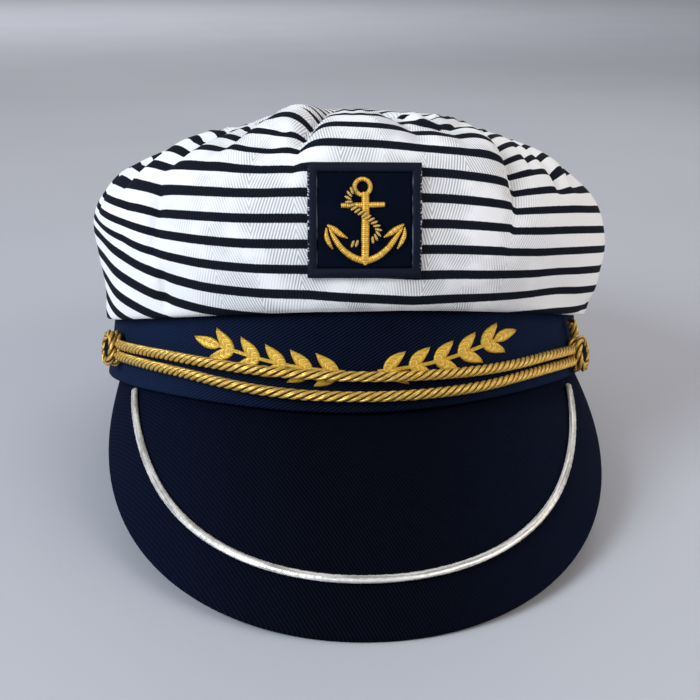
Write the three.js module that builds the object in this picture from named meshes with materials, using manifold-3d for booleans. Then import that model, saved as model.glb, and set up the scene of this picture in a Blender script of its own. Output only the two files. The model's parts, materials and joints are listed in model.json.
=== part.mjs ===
// Captain hat: a soft striped crown on a navy band, a drooping peak with silver piping, a sewn
// anchor badge, laurel embroidery and two gold cords held at side buttons.
// Millimetres. The hat is drawn in its own frame, with the band's bottom edge at z = 0, the
// front towards -Y and the crown up +Z. The whole is then tipped back, because the hat
// rests on the edge of its peak and on the back of its band.
import * as THREE from 'three';
import { mergeVertices } from 'three/addons/utils/BufferGeometryUtils.js';
import Module from 'manifold-3d';

const wasm = await Module();
wasm.setup();

// ---- Driving dimensions -------------------------------------------------------------------

const GAP = 0.3;              // clearance between neighbouring pieces
const DEG = Math.PI / 180;

const BAND = {
  halfWidthBottom: 91.5, halfDepthBottom: 99.5,
  halfWidthTop: 88.5, halfDepthTop: 97,
  roundness: 1.93,            // exponent of the oval: 2 is an ellipse
  height: 27.4, wall: 2.6,
  hemBulge: 0.9, hemRise: 1.2, hemHeight: 4.5, hemStep: 0.3,
  frontDip: 4, dipPower: 5,   // the front edge hangs lower where the peak pulls it
  columns: 72,
};

const CROWN_WALL = 1.8;
const SEAM = { ring: 8, halfGap: 0.012 };   // where the top panel is sewn on, in rings
const CROWN_MESH = {
  columns: 74,
  crowding: 20,               // degrees by which the columns crowd towards the front
  sideRings: [0, 1, 2, 3, 4, 5, 5.6, 6.2, 6.8, 7.4],
  insideRings: [7.4, 6.8, 6.2, 5.4, 3.5],
  topRings: [8.6, 9.3, 10.1, 11],
  rimIn: 2.1,                 // the rim's inner edge, inside the band's face
  tuckOut: 0.6,               // the lip's hidden face, outside the band's face
};

/** Rows of a table as objects, by the names of its columns. */
function table(columns, rows) {
  const names = columns.split(' ');
  return rows.map((row) => Object.fromEntries(names.map((name, i) => [name, row[i]])));
}

// One row per ring of the crown, from the lip over the band up to the centre of the top. On each
// of the four sides, Out is the distance from the middle and Up the height. round is the oval's
// exponent.
const CROWN = table('ring frontOut frontUp backOut backUp leftOut leftUp rightOut rightUp round', [
  ['lip', 99.6, 28, 99.6, 24.5, 91.2, 21.6, 91.2, 20, 2],
  ['roll', 101.6, 29.6, 101.6, 24.3, 91.8, 21.4, 92.2, 19.5, 2.02],
  ['overhang', 103.2, 33, 103.6, 26.5, 92, 23.8, 93.2, 21.8, 2.06],
  ['lower', 105.2, 42, 107, 34, 92, 33, 96.4, 31.6, 2.15],
  ['belly', 106, 54, 108, 46, 93.5, 46.5, 99.2, 45.5, 2.2],
  ['upper', 105.4, 66.5, 106.5, 58, 94.6, 59, 97, 58.5, 2.2],
  ['turn', 103.4, 78, 102, 68, 89.2, 70, 88.9, 68, 2.2],
  ['shoulder', 97, 86.5, 95, 76.5, 79, 77.2, 79.5, 74, 2.15],
  ['topSeam', 86, 91, 83, 83, 64.5, 83, 67, 81, 2.1],
  ['topOuter', 62, 94, 60, 89, 43.5, 89.5, 46, 89, 2],
  ['topInner', 32, 97, 32, 94, 22, 95.5, 24, 95.2, 2],
  ['centre', 0, 98.5, 0, 98.5, 0, 98.5, 0, 98.5, 2],
]);

// Gathers of the crown cloth. Each runs from its foot up over the shoulder to its head. Angles
// are degrees from the front, positive to +X, and rings count from 0 at the lip. left and right
// are how far each flank reaches.
const PLEATS = table('name footAngle footRing headAngle headRing left right depth', [
  ['leftSide', -84, 6.0, -74, 9.2, 5, 7, 3],
  ['leftCorner', -57, 5.4, -47, 9.0, 5, 6, 3.4],
  ['leftFront', -42, 5.8, -31, 9.2, 5, 6, 3.4],
  ['leftRidge', -28, 6.1, -24, 8.4, 6, 4, 2.8],
  ['deepLeft', -10.6, 5.7, -7.5, 9.6, 5.2, 3.6, 5.5],
  ['frontTuck', 12, 6.3, 6, 9.0, 4, 5, 2.2],
  ['frontRight', 21, 6.0, 19, 8.8, 6, 5, 2.4],
  ['deepRight', 27.5, 4.2, 38.5, 9.0, 3.5, 8, 5.5],
  ['rightFront', 44, 5.2, 52, 8.6, 5, 5, 2.4],
  ['rightCorner', 64, 5.8, 66, 9.0, 6, 5, 2.8],
  ['rightSide', 88, 5.6, 84, 9.4, 6, 7, 3.2],
  ['rightRear', 112, 5.9, 104, 9.0, 6, 6, 3],
  ['backRight', 137, 5.5, 130, 9.3, 7, 6, 3.4],
  ['back', 163, 5.8, 160, 9.0, 6, 7, 3.2],
  ['backLeft', -170, 5.6, -168, 9.2, 7, 6, 3.4],
  ['leftRear', -143, 5.9, -138, 9.0, 6, 7, 3.2],
  ['leftBack', -113, 5.5, -106, 9.2, 6, 6, 3],
]);

// Puffed places between the gathers: where each stands, its reach along and across the rings,
// and its height.
const PUFFS = table('name angle ring along rings height', [
  ['topLeft', -14.5, 8.1, 12, 1.1, 2.3],
  ['overRight', 24, 6.2, 9, 1.2, 1.8],
  ['rightTop', 50, 7.0, 12, 1.0, 1.2],
  ['leftTop', -49, 7.0, 9, 1.0, 1.4],
  ['rearTop', 150, 7.4, 16, 1.2, 2.4],
  ['rearLeft', -126, 7.2, 14, 1.1, 2.2],
]);

const PEAK = {
  length: 76.4, wall: 2.2,
  halfSpan: 73.2,             // degrees each side of the front
  droop: 44, sideDroop: 8,    // degrees below the band's plane, and the extra at the sides
  fan: 0.79,                  // how far the peak's direction turns with the band's
  spread: 2.15, taper: 1.41,  // how the length falls off towards the ends
  arch: 3,                    // crown of the peak along its length
  inset: 2.2,                 // its root sits this far inside the band's face
  lip: 0.8,                   // how far the rounded edge stands beyond the faces
  heelDrop: 0.3,              // its root's underside, below the top face's root
  endShare: 0.975,            // share of halfSpan at which the narrow ends stop
  columns: 44, shares: [0, 0.2, 0.45, 0.7, 0.88, 1],
};
const PIPING = {
  fromEdge: 16, drift: 4,     // distance from the edge, and how much more at 45 degrees
  fromBand: 3,                // least distance from the root of the peak
  halfWidth: 1.25, height: 1.7, leftEnd: -57.1, rightEnd: 55.8, above: 0.4,
  shoulder: 0.55, crest: 0.5, // where its rounded section turns in, as shares of height and width
  steps: 44,
};

const BADGE = {
  size: 34.4, middleX: 1.1, middleZ: 55.9, turn: -0.8,
  field: 1.0, border: 1.7, borderWidth: 3, step: 4.6, above: 0.45,
  edgeIn: 0.8, edgeHeight: 0.7,   // the border's rounded edge: how far in, and share of height
  sideSteps: 5,
};
const ANCHOR = {
  thickness: 1.0,
  ringZ: 10.3, ringOuter: 3.0, ringInner: 1.6,
  shankWidth: 2.5, shankTop: 7.8, shankBottom: -12.6,
  stockZ: 4.4, stockHeight: 1.8, stockHalf: 7.0,
  armRadius: 12.6, armMiddleZ: 0.4, armWidth: 2.4, armHalfAngle: 68,
};
// Outline of a fluke from the end of its arm: out is away from the shank, up along it.
const FLUKE = table('out up', [[0.6, 1.8], [1.44, -5.6], [-0.6, -2.4], [-4.8, -1.6]]);
const ROPE = { radius: 0.8, sides: 6, steps: 22 };
// The rope's way from the anchor's ring round its stock and shank.
const ROPE_ROUTE = table('across up', [
  [-2.6, 9.6], [-4.6, 8.2], [-5.2, 6], [-3.8, 4], [-1, 2.2], [1.8, 0.4], [3.8, -1.8], [3.6, -4.4],
  [1.4, -6.2],
]);

const LAUREL = {
  thickness: 0.7, stemWidth: 1.6, leafLength: 8.8, leafWidth: 3.6, pairs: 5,
  startX: 5, endX: 46, startZ: 8.8, endZ: 17, sag: 1.5, leafAngle: 36, above: 0.5,
  leafBack: 0.8, leafBelly: 0.45, // how far a leaf starts behind its root, and its widest place
  stemSteps: 10, stemCrest: 0.7,
};

const CORD = { radius: 1.65, offBand: 3.2, sides: 8, steps: 30, tailSteps: 4 };
// Where each cord's middle runs over the band.
const UPPER_CORD = table('angle z', [
  [-62.4, 13.5], [-52, 13], [-42, 12.3], [-31, 10.8], [-21, 9.3], [-10, 8.2], [1, 7.4], [12, 7.2],
  [24, 7.4], [34, 8.2], [45, 9.4], [56.4, 9.6],
]);
const LOWER_CORD = table('angle z', [
  [-62.4, 9.6], [-54, 9], [-46, 8.2], [-37, 6.9], [-29, 5.0], [-21, 3.2], [-11, 1.8], [1, 1.2],
  [12, 1.3], [24, 2.2], [35, 4], [45, 5.2], [56.4, 5.6],
]);
const TAIL_CORD = table('angle z', [[59.9, 14.7], [59.2, 17.2], [58.2, 19.6]]);
const BUTTON = {
  radius: 3.4, foot: 0.65, height: 5.2, dome: 1.2, sides: 12,
  brow: [0.6, 0.8],           // the dome's one bend, as shares of the radius and of the dome
};
const LEFT_BUTTON = { angle: -66.5, z: 11.8 };
const RIGHT_BUTTON = { angle: 60.5, z: 7.4 };
const COIL = { cordRadius: 1.45, lobeOverlap: 0.15, above: 1, sides: 14, arcSteps: 3 };

const COLOUR = {
  cloth: 0xe9eaee, navy: 0x161d33, peak: 0x0b0f1e, gold: 0xd8b050, satin: 0xdaa520, silver: 0xd9dade,
};

// ---- Small helpers ------------------------------------------------------------------------

const power = (value, exponent) => Math.sign(value) * Math.abs(value) ** exponent;
const smooth = (low, high, x) => THREE.MathUtils.smoothstep(x, low, high);

/** Degrees between two directions, from -180 to 180. */
function turnBetween(a, b) {
  return THREE.MathUtils.euclideanModulo(a - b + 180, 360) - 180;
}

/** The point of an oval at an angle from the front. */
function onOval(angle, halfWidth, halfDepth, roundness, z) {
  const s = power(Math.sin(angle * DEG), 2 / roundness);
  const c = power(Math.cos(angle * DEG), 2 / roundness);
  return new THREE.Vector3(halfWidth * s, -halfDepth * c, z);
}

/** A closed mesh from rows of points, each row joined to the next. ends says how the first and
 *  last rows close: they "meet" each other, are "points", or get a "cap", a strip that runs
 *  between a section's two long sides and so follows its bend. */
function skin(rows, ends) {
  const positions = [];
  const indices = [];
  const starts = rows.map((row) => {
    const start = positions.length / 3;
    row.forEach((p) => positions.push(p.x, p.y, p.z));
    return start;
  });
  const join = (r, q) => {
    const count = Math.max(rows[r].length, rows[q].length);
    for (let i = 0; i < count; i += 1) {
      const j = (i + 1) % count;
      const a = starts[r] + (rows[r].length === 1 ? 0 : i);
      const b = starts[r] + (rows[r].length === 1 ? 0 : j);
      const c = starts[q] + (rows[q].length === 1 ? 0 : j);
      const d = starts[q] + (rows[q].length === 1 ? 0 : i);
      if (a !== b) indices.push(a, b, c);
      if (c !== d) indices.push(a, c, d);
    }
  };
  for (let r = 0; r + 1 < rows.length; r += 1) join(r, r + 1);
  if (ends === 'meet') join(rows.length - 1, 0);
  if (ends === 'cap') {
    const last = rows.length - 1;
    let low = 0;
    let high = rows[0].length - 1;
    while (high - low > 1) {
      indices.push(starts[0] + low, starts[0] + high, starts[0] + low + 1);
      indices.push(starts[last] + low, starts[last] + low + 1, starts[last] + high);
      low += 1;
      if (high - low > 1) {
        indices.push(starts[0] + low, starts[0] + high, starts[0] + high - 1);
        indices.push(starts[last] + low, starts[last] + high - 1, starts[last] + high);
      }
      high -= 1;
    }
  }
  const geometry = new THREE.BufferGeometry();
  geometry.setAttribute('position', new THREE.Float32BufferAttribute(positions, 3));
  geometry.setIndex(indices);
  return facingOut(geometry);
}

/** Turns the faces round if the body's volume comes out negative. */
function facingOut(geometry) {
  const p = geometry.getAttribute('position');
  const index = geometry.getIndex();
  const [a, b, c] = [new THREE.Vector3(), new THREE.Vector3(), new THREE.Vector3()];
  let volume = 0;
  for (let i = 0; i < index.count; i += 3) {
    a.fromBufferAttribute(p, index.getX(i));
    b.fromBufferAttribute(p, index.getX(i + 1));
    c.fromBufferAttribute(p, index.getX(i + 2));
    volume += a.dot(b.cross(c));
  }
  if (volume < 0) {
    const turned = Array.from(index.array);
    for (let i = 0; i < turned.length; i += 3) [turned[i], turned[i + 1]] = [turned[i + 1], turned[i]];
    geometry.setIndex(turned);
  }
  geometry.computeVertexNormals();
  return geometry;
}

/** A bar of the given section carried along stations, each with a place, a side and an up. */
function bar(stations, section) {
  const rows = stations.map(({ at, side, up }) => section.map(([s, u]) => at.clone()
    .addScaledVector(side, s).addScaledVector(up, u)));
  return skin(rows, 'cap');
}

function solidOf(geometry) {
  const bare = geometry.clone();
  bare.deleteAttribute('normal');
  bare.deleteAttribute('uv');
  const merged = mergeVertices(bare, 1e-4);
  const vertProperties = new Float32Array(merged.getAttribute('position').array);
  const triVerts = new Uint32Array(merged.getIndex().array);
  return new wasm.Manifold(new wasm.Mesh({ numProp: 3, vertProperties, triVerts }));
}

function geometryOf(solid) {
  const mesh = solid.getMesh();
  const geometry = new THREE.BufferGeometry();
  geometry.setAttribute('position', new THREE.Float32BufferAttribute(mesh.vertProperties, 3));
  geometry.setIndex(Array.from(mesh.triVerts));
  geometry.computeVertexNormals();
  return geometry;
}

/** Several overlapping closed geometries as one. */
function united(geometries) {
  return geometryOf(geometries.map(solidOf).reduce((whole, next) => whole.add(next)));
}

/** Moves every point of a flat piece onto a curved surface. */
function bent(geometry, place) {
  const p = geometry.getAttribute('position');
  for (let i = 0; i < p.count; i += 1) {
    const q = place(p.getX(i), p.getY(i), p.getZ(i));
    p.setXYZ(i, q.x, q.y, q.z);
  }
  return geometry;
}

/** A cord of round section along a smooth path. */
function cord(points, radius, sides, steps) {
  const ring = new THREE.EllipseCurve(0, 0, radius, radius).getPoints(sides).slice(0, sides);
  const path = new THREE.CatmullRomCurve3(points);
  return new THREE.ExtrudeGeometry(new THREE.Shape(ring), { steps, extrudePath: path });
}

// ---- Band ---------------------------------------------------------------------------------

const bandDip = (angle) => -BAND.frontDip * Math.max(Math.cos(angle * DEG), 0) ** BAND.dipPower;

/** A point on the band's outer face, moved outwards by off. */
function bandFace(angle, z, off) {
  const share = z / BAND.height;
  const width = THREE.MathUtils.lerp(BAND.halfWidthBottom, BAND.halfWidthTop, share);
  const depth = THREE.MathUtils.lerp(BAND.halfDepthBottom, BAND.halfDepthTop, share);
  return onOval(angle, width + off, depth + off, BAND.roundness, z);
}

/** Outward direction of the band's face, with its lean. */
function bandNormal(angle) {
  const along = bandFace(angle + 0.5, 0, 0).sub(bandFace(angle - 0.5, 0, 0));
  const up = bandFace(angle, BAND.height, 0).sub(bandFace(angle, 0, 0));
  return along.cross(up).normalize();
}

function band() {
  const { columns, height, wall, hemBulge, hemRise, hemHeight, hemStep } = BAND;
  const rows = [];
  const section = (angle) => {
    const low = bandDip(angle);
    return [
      bandFace(angle, low, 0), bandFace(angle, low + hemRise, hemBulge),
      bandFace(angle, low + hemHeight, hemStep), bandFace(angle, height, 0),
      bandFace(angle, height, -wall), bandFace(angle, low, -wall),
    ];
  };
  for (let i = 0; i < columns; i += 1) rows.push(section((i * 360) / columns));
  return skin(rows, 'meet');
}

// ---- Crown --------------------------------------------------------------------------------

/** The row of the crown at any ring, by a smooth curve through the table. */
function crownRow(ring) {
  const last = CROWN.length - 1;
  const k = Math.min(Math.floor(ring), last - 1);
  const t = ring - k;
  const [a, b, c, d] = [k - 1, k, k + 1, k + 2].map((i) => CROWN[THREE.MathUtils.clamp(i, 0, last)]);
  const between = (key) => 0.5 * (2 * b[key] + (c[key] - a[key]) * t
    + (2 * a[key] - 5 * b[key] + 4 * c[key] - d[key]) * t * t
    + (3 * b[key] - a[key] - 3 * c[key] + d[key]) * t ** 3);
  const row = {};
  Object.keys(b).filter((key) => key !== 'ring').forEach((key) => { row[key] = between(key); });
  return row;
}

/** The crown before its gathers. */
function plainCrown(angle, ring) {
  const row = crownRow(ring);
  const s = Math.sin(angle * DEG);
  const c = Math.cos(angle * DEG);
  const across = s >= 0 ? row.rightOut : row.leftOut;
  const sideUp = s >= 0 ? row.rightUp : row.leftUp;
  const along = c >= 0 ? row.frontOut : row.backOut;
  const endUp = c >= 0 ? row.frontUp : row.backUp;
  const x = across * power(s, 2 / row.round);
  const y = -along * power(c, 2 / row.round);
  return new THREE.Vector3(x, y, sideUp * s * s + endUp * c * c);
}

/** Outward direction of the crown before its gathers. */
function crownNormal(angle, ring) {
  const last = CROWN.length - 1;
  if (ring > last - 0.02) return new THREE.Vector3(0, 0, 1);
  const round = plainCrown(angle + 0.5, ring).sub(plainCrown(angle - 0.5, ring));
  const above = plainCrown(angle, Math.min(ring + 0.02, last));
  const up = above.sub(plainCrown(angle, Math.max(ring - 0.02, 0)));
  return round.cross(up).normalize();
}

/** How far the gathers move the cloth, outwards positive. */
function gather(angle, ring) {
  const radius = Math.hypot(plainCrown(angle, ring).x, plainCrown(angle, ring).y);
  let out = 0;
  PLEATS.forEach((pleat) => {
    const share = (ring - pleat.footRing) / (pleat.headRing - pleat.footRing);
    const along = THREE.MathUtils.clamp(share, -0.2, 1.2);
    const middle = THREE.MathUtils.lerp(pleat.footAngle, pleat.headAngle, along);
    const away = turnBetween(angle, middle) * DEG * radius;
    const reach = away < 0 ? pleat.left : pleat.right;
    const strength = smooth(-0.12, 0.3, share) * (1 - smooth(0.55, 1.05, share));
    out -= pleat.depth * strength * Math.exp(-((away / reach) ** 2));
  });
  PUFFS.forEach((puff) => {
    const away = turnBetween(angle, puff.angle) * DEG * radius;
    out += puff.height * Math.exp(-((away / puff.along) ** 2) - ((ring - puff.ring) / puff.rings) ** 2);
  });
  return out;
}

/** A point of the crown, moved inwards by depth. */
function crownFace(angle, ring, depth) {
  const last = CROWN.length - 1;
  const fade = 1 - smooth(last - 1.2, last - 0.2, ring);
  const out = gather(angle, ring) * fade - depth;
  return plainCrown(angle, ring).addScaledVector(crownNormal(angle, ring), out);
}

/** Angles of the crown's columns, crowded towards the front. */
function crownAngles() {
  const { columns, crowding } = CROWN_MESH;
  return Array.from({ length: columns }, (_, i) => {
    const even = (i * 360) / columns;
    return even - crowding * Math.sin(even * DEG);
  });
}

/** One ring of points of the crown, or its centre. */
function crownRing(ring, depth) {
  return ring === CROWN.length - 1
    ? [crownFace(0, ring, depth)]
    : crownAngles().map((angle) => crownFace(angle, ring, depth));
}

/** The crown's side as one shell: the inside down to the rim that stands on the band, the rim,
 *  the tucked face behind the lip that hangs over the band, and the outside up to the seam. */
function crownSide() {
  const { sideRings, insideRings, rimIn, tuckOut } = CROWN_MESH;
  const seam = SEAM.ring - SEAM.halfGap;
  const stands = BAND.height + GAP;
  const inside = [seam, ...insideRings].map((ring) => crownRing(ring, CROWN_WALL));
  const rim = crownAngles().map((angle) => bandFace(angle, stands, -rimIn));
  const corner = crownAngles().map((angle) => bandFace(angle, stands, tuckOut));
  const tuck = crownAngles().map((angle) => bandFace(angle, crownFace(angle, 0, 0).z, tuckOut));
  const outside = [...sideRings, seam].map((ring) => crownRing(ring, 0));
  return skin([...inside, rim, corner, tuck, ...outside], 'meet');
}

/** The crown's top panel, a curved disc sewn to the side along the seam. */
function crownTop() {
  const rings = [SEAM.ring + SEAM.halfGap, ...CROWN_MESH.topRings];
  const inside = rings.slice().reverse().map((ring) => crownRing(ring, CROWN_WALL));
  const outside = rings.map((ring) => crownRing(ring, 0));
  return skin([...inside, ...outside], 'points');
}

/** The place on the crown's front that has a given x and z, moved outwards by off. */
function crownFront(x, z, off) {
  let angle = 0;
  let ring = 4;
  for (let i = 0; i < 14; i += 1) {
    const here = plainCrown(angle, ring);
    const slope = plainCrown(angle, ring + 0.05).z - here.z;
    ring += THREE.MathUtils.clamp(((z - here.z) * 0.05) / slope, -0.6, 0.6);
    const turn = plainCrown(angle + 0.2, ring).x - plainCrown(angle - 0.2, ring).x;
    angle += THREE.MathUtils.clamp(((x - plainCrown(angle, ring).x) * 0.4) / turn, -8, 8);
  }
  return crownFace(angle, ring, -off);
}

// ---- Peak ---------------------------------------------------------------------------------

/** Length of the peak from band to edge at an angle from the front. */
function peakLength(angle) {
  const share = Math.min(Math.abs(angle) / PEAK.halfSpan, 1);
  return PEAK.length * (1 - share ** PEAK.spread) ** PEAK.taper;
}

/** Which way the peak runs and faces at an angle from the front. */
function peakFrame(angle) {
  const droop = (PEAK.droop + PEAK.sideDroop * Math.sin(angle * DEG) ** 2) * DEG;
  const heading = angle * PEAK.fan * DEG;
  const run = new THREE.Vector3(
    Math.cos(droop) * Math.sin(heading), -Math.cos(droop) * Math.cos(heading), -Math.sin(droop));
  const face = new THREE.Vector3(
    Math.sin(droop) * Math.sin(heading), -Math.sin(droop) * Math.cos(heading), Math.cos(droop));
  return { run, face };
}

/** A point on the peak: share 0 at the band and 1 at the edge, moved under the top face by depth. */
function peakFace(angle, share, depth) {
  const { run, face } = peakFrame(angle);
  const length = peakLength(angle);
  const root = bandFace(angle, bandDip(angle), -PEAK.inset);
  root.z -= GAP;
  const arch = (PEAK.arch * 4 * share * (1 - share) * length) / PEAK.length;
  return root.addScaledVector(run, length * share).addScaledVector(face, arch - depth);
}

function peak() {
  const { columns, shares, lip, wall } = PEAK;
  const reach = PEAK.halfSpan * PEAK.endShare;
  const rows = [];
  for (let i = 0; i <= columns; i += 1) {
    const angle = reach * (-1 + (2 * i) / columns);
    const top = shares.map((share) => peakFace(angle, share, 0));
    const rim = peakFace(angle, 1, wall / 2);
    rim.addScaledVector(peakFrame(angle).run, lip);
    const under = shares.slice(1).reverse().map((share) => peakFace(angle, share, wall));
    const heel = bandFace(angle, bandDip(angle), -PEAK.inset - wall);
    heel.z -= GAP + PEAK.heelDrop;
    rows.push([...top, rim, ...under, heel]);
  }
  return skin(rows, 'cap');
}

function peakPiping() {
  const { fromEdge, drift, fromBand, leftEnd, rightEnd, above, steps } = PIPING;
  const { halfWidth, height, shoulder, crest } = PIPING;
  const point = (angle) => {
    const turn = (angle / 45) ** 4;
    const away = fromEdge + drift * turn * Math.exp(1 - turn);
    const share = Math.max(peakLength(angle) - away, fromBand) / peakLength(angle);
    return peakFace(angle, share, -above);
  };
  const stations = [];
  for (let i = 0; i <= steps; i += 1) {
    const angle = THREE.MathUtils.lerp(leftEnd, rightEnd, i / steps);
    const at = point(angle);
    const ahead = point(angle + 0.5).sub(point(angle - 0.5)).normalize();
    const up = peakFrame(angle).face;
    const side = new THREE.Vector3().crossVectors(ahead, up).normalize();
    stations.push({ at, side, up });
  }
  const section = [
    [-halfWidth, 0], [halfWidth, 0], [halfWidth, height * shoulder], [halfWidth * crest, height],
    [-halfWidth * crest, height], [-halfWidth, height * shoulder],
  ];
  return bar(stations, section);
}

// ---- Badge --------------------------------------------------------------------------------

/** A place on the badge: across and up from its middle, and out from the crown. */
function onBadge(across, up, out) {
  const turn = BADGE.turn * DEG;
  const x = BADGE.middleX + across * Math.cos(turn) - up * Math.sin(turn);
  const z = BADGE.middleZ + across * Math.sin(turn) + up * Math.cos(turn);
  return crownFront(x, z, BADGE.above + out);
}

/** A flat plate, thick along the badge's outward direction, laid on the crown in short steps so
 *  that it follows the bend. */
function badgePlate(low, high, left, right, bottom, top) {
  const columns = Math.ceil((right - left) / BADGE.step);
  const lines = Math.ceil((top - bottom) / BADGE.step);
  const rows = [];
  for (let i = 0; i <= columns; i += 1) {
    const across = THREE.MathUtils.lerp(left, right, i / columns);
    const line = Array.from({ length: lines + 1 }, (_, j) => THREE.MathUtils.lerp(bottom, top, j / lines));
    rows.push([
      ...line.map((up) => onBadge(across, up, low)),
      ...line.reverse().map((up) => onBadge(across, up, high)),
    ]);
  }
  return skin(rows, 'cap');
}

function badgeField() {
  const half = BADGE.size / 2 - BADGE.borderWidth - GAP;
  return badgePlate(0, BADGE.field, -half, half, -half, half);
}

function badgeBorder() {
  const { border, borderWidth, edgeIn, edgeHeight, sideSteps } = BADGE;
  const outer = BADGE.size / 2;
  const inner = outer - borderWidth;
  const around = [];
  const corners = [[-1, -1], [1, -1], [1, 1], [-1, 1]];
  corners.forEach(([x, y], k) => {
    const [nextX, nextY] = corners[(k + 1) % 4];
    for (let i = 0; i < sideSteps; i += 1) {
      const share = i / sideSteps;
      around.push([x + (nextX - x) * share, y + (nextY - y) * share]);
    }
  });
  const rows = around.map(([x, y]) => [
    onBadge(x * inner, y * inner, 0), onBadge(x * outer, y * outer, 0),
    onBadge(x * outer, y * outer, border * edgeHeight),
    onBadge(x * (outer - edgeIn), y * (outer - edgeIn), border),
    onBadge(x * (inner + edgeIn), y * (inner + edgeIn), border),
    onBadge(x * inner, y * inner, border * edgeHeight),
  ]);
  return skin(rows, 'meet');
}

/** A flat outline given a thickness and laid on the badge's field. */
function onField(shape, thickness) {
  const settings = { depth: thickness, bevelEnabled: false, curveSegments: 7 };
  const flat = new THREE.ExtrudeGeometry(shape, settings);
  const stands = BADGE.field + GAP;
  return bent(flat, (x, y, z) => onBadge(x, y, stands + z));
}

function anchor() {
  const a = ANCHOR;
  const eye = new THREE.Shape().absarc(0, a.ringZ, a.ringOuter, 0, 2 * Math.PI);
  eye.holes.push(new THREE.Path().absarc(0, a.ringZ, a.ringInner, 0, 2 * Math.PI));
  const low = BADGE.field + GAP;
  const high = low + a.thickness;
  const shank = badgePlate(low, high, -a.shankWidth / 2, a.shankWidth / 2, a.shankBottom, a.shankTop);
  const stockLow = a.stockZ - a.stockHeight / 2;
  const stock = badgePlate(low, high, -a.stockHalf, a.stockHalf, stockLow, stockLow + a.stockHeight);
  const down = -Math.PI / 2;
  const swing = a.armHalfAngle * DEG;
  const arms = new THREE.Shape();
  arms.absarc(0, a.armMiddleZ, a.armRadius + a.armWidth / 2, down - swing, down + swing, false);
  arms.absarc(0, a.armMiddleZ, a.armRadius - a.armWidth / 2, down + swing, down - swing, true);
  arms.closePath();
  const flukes = [-1, 1].map((side) => {
    const tipX = side * a.armRadius * Math.sin(swing);
    const tipZ = a.armMiddleZ - a.armRadius * Math.cos(swing);
    return new THREE.Shape(FLUKE.map(({ out, up }) => new THREE.Vector2(tipX + side * out, tipZ + up)));
  });
  const bentShapes = [eye, arms, ...flukes].map((shape) => onField(shape, a.thickness));
  return united([shank, stock, ...bentShapes]);
}

function anchorRope() {
  const over = BADGE.field + GAP + ANCHOR.thickness + GAP + ROPE.radius;
  const points = ROPE_ROUTE.map(({ across, up }) => onBadge(across, up, over));
  return cord(points, ROPE.radius, ROPE.sides, ROPE.steps);
}

// ---- Laurel embroidery --------------------------------------------------------------------

/** A place on the band's front: x across, z up, out from its face. */
function onBand(x, z, out) {
  let angle = 0;
  for (let i = 0; i < 12; i += 1) {
    const turn = bandFace(angle + 0.2, z, 0).x - bandFace(angle - 0.2, z, 0).x;
    angle += THREE.MathUtils.clamp(((x - bandFace(angle, z, 0).x) * 0.4) / turn, -10, 10);
  }
  return bandFace(angle, z, 0).addScaledVector(bandNormal(angle), out);
}

/** Middle line of the stem: share 0 at the hat's front and 1 at the tip. */
function stemPoint(side, share) {
  const x = THREE.MathUtils.lerp(LAUREL.startX, LAUREL.endX, share);
  const z = THREE.MathUtils.lerp(LAUREL.startZ, LAUREL.endZ, share) - LAUREL.sag * Math.sin(Math.PI * share);
  return new THREE.Vector2(side * x, z);
}

function laurelLeaf(root, heading) {
  const { leafLength, leafWidth, leafBack, leafBelly, thickness } = LAUREL;
  const shape = new THREE.Shape();
  shape.moveTo(-leafBack, 0);
  shape.quadraticCurveTo(leafLength * leafBelly, leafWidth, leafLength, 0);
  shape.quadraticCurveTo(leafLength * leafBelly, -leafWidth, -leafBack, 0);
  const flat = new THREE.ExtrudeGeometry(shape, { depth: thickness, bevelEnabled: false, curveSegments: 2 });
  flat.rotateZ(heading);
  flat.translate(root.x, root.y, 0);
  return bent(flat, (x, y, z) => onBand(x, y, LAUREL.above + z));
}

function laurel(side) {
  const { pairs, leafAngle, stemWidth, stemSteps, stemCrest, thickness, above } = LAUREL;
  const pieces = [];
  const stations = [];
  for (let i = 0; i <= stemSteps; i += 1) {
    const here = stemPoint(side, i / stemSteps);
    const ahead = stemPoint(side, i / stemSteps + 0.01);
    const at = onBand(here.x, here.y, above);
    const up = onBand(here.x, here.y, above + 1).sub(at).normalize();
    const along = onBand(ahead.x, ahead.y, above).sub(at).normalize();
    stations.push({ at, up, side: new THREE.Vector3().crossVectors(along, up).normalize() });
  }
  const half = stemWidth / 2;
  const crest = half * stemCrest;
  pieces.push(bar(stations, [[-half, 0], [half, 0], [crest, thickness], [-crest, thickness]]));
  for (let i = 0; i < pairs; i += 1) {
    const root = stemPoint(side, (i + 0.3) / pairs);
    const ahead = stemPoint(side, (i + 0.4) / pairs);
    const heading = Math.atan2(ahead.y - root.y, ahead.x - root.x);
    [-1, 1].forEach((hand) => pieces.push(laurelLeaf(root, heading + hand * leafAngle * DEG)));
  }
  const tip = stemPoint(side, 0.97);
  const beyond = stemPoint(side, 1);
  pieces.push(laurelLeaf(tip, Math.atan2(beyond.y - tip.y, beyond.x - tip.x)));
  return united(pieces);
}

// ---- Cords and buttons --------------------------------------------------------------------

function bandCord(route, steps) {
  const points = route.map(({ angle, z }) => bandFace(angle, z, 0)
    .addScaledVector(bandNormal(angle), CORD.offBand));
  return cord(points, CORD.radius, CORD.sides, steps);
}

/** Turns a piece drawn along +Z to stand out of the band at an angle and height. */
function standingOut(geometry, { angle, z }) {
  const turn = new THREE.Quaternion().setFromUnitVectors(new THREE.Vector3(0, 0, 1), bandNormal(angle));
  geometry.applyQuaternion(turn);
  const foot = bandFace(angle, z, 0);
  return geometry.translate(foot.x, foot.y, foot.z);
}

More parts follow.
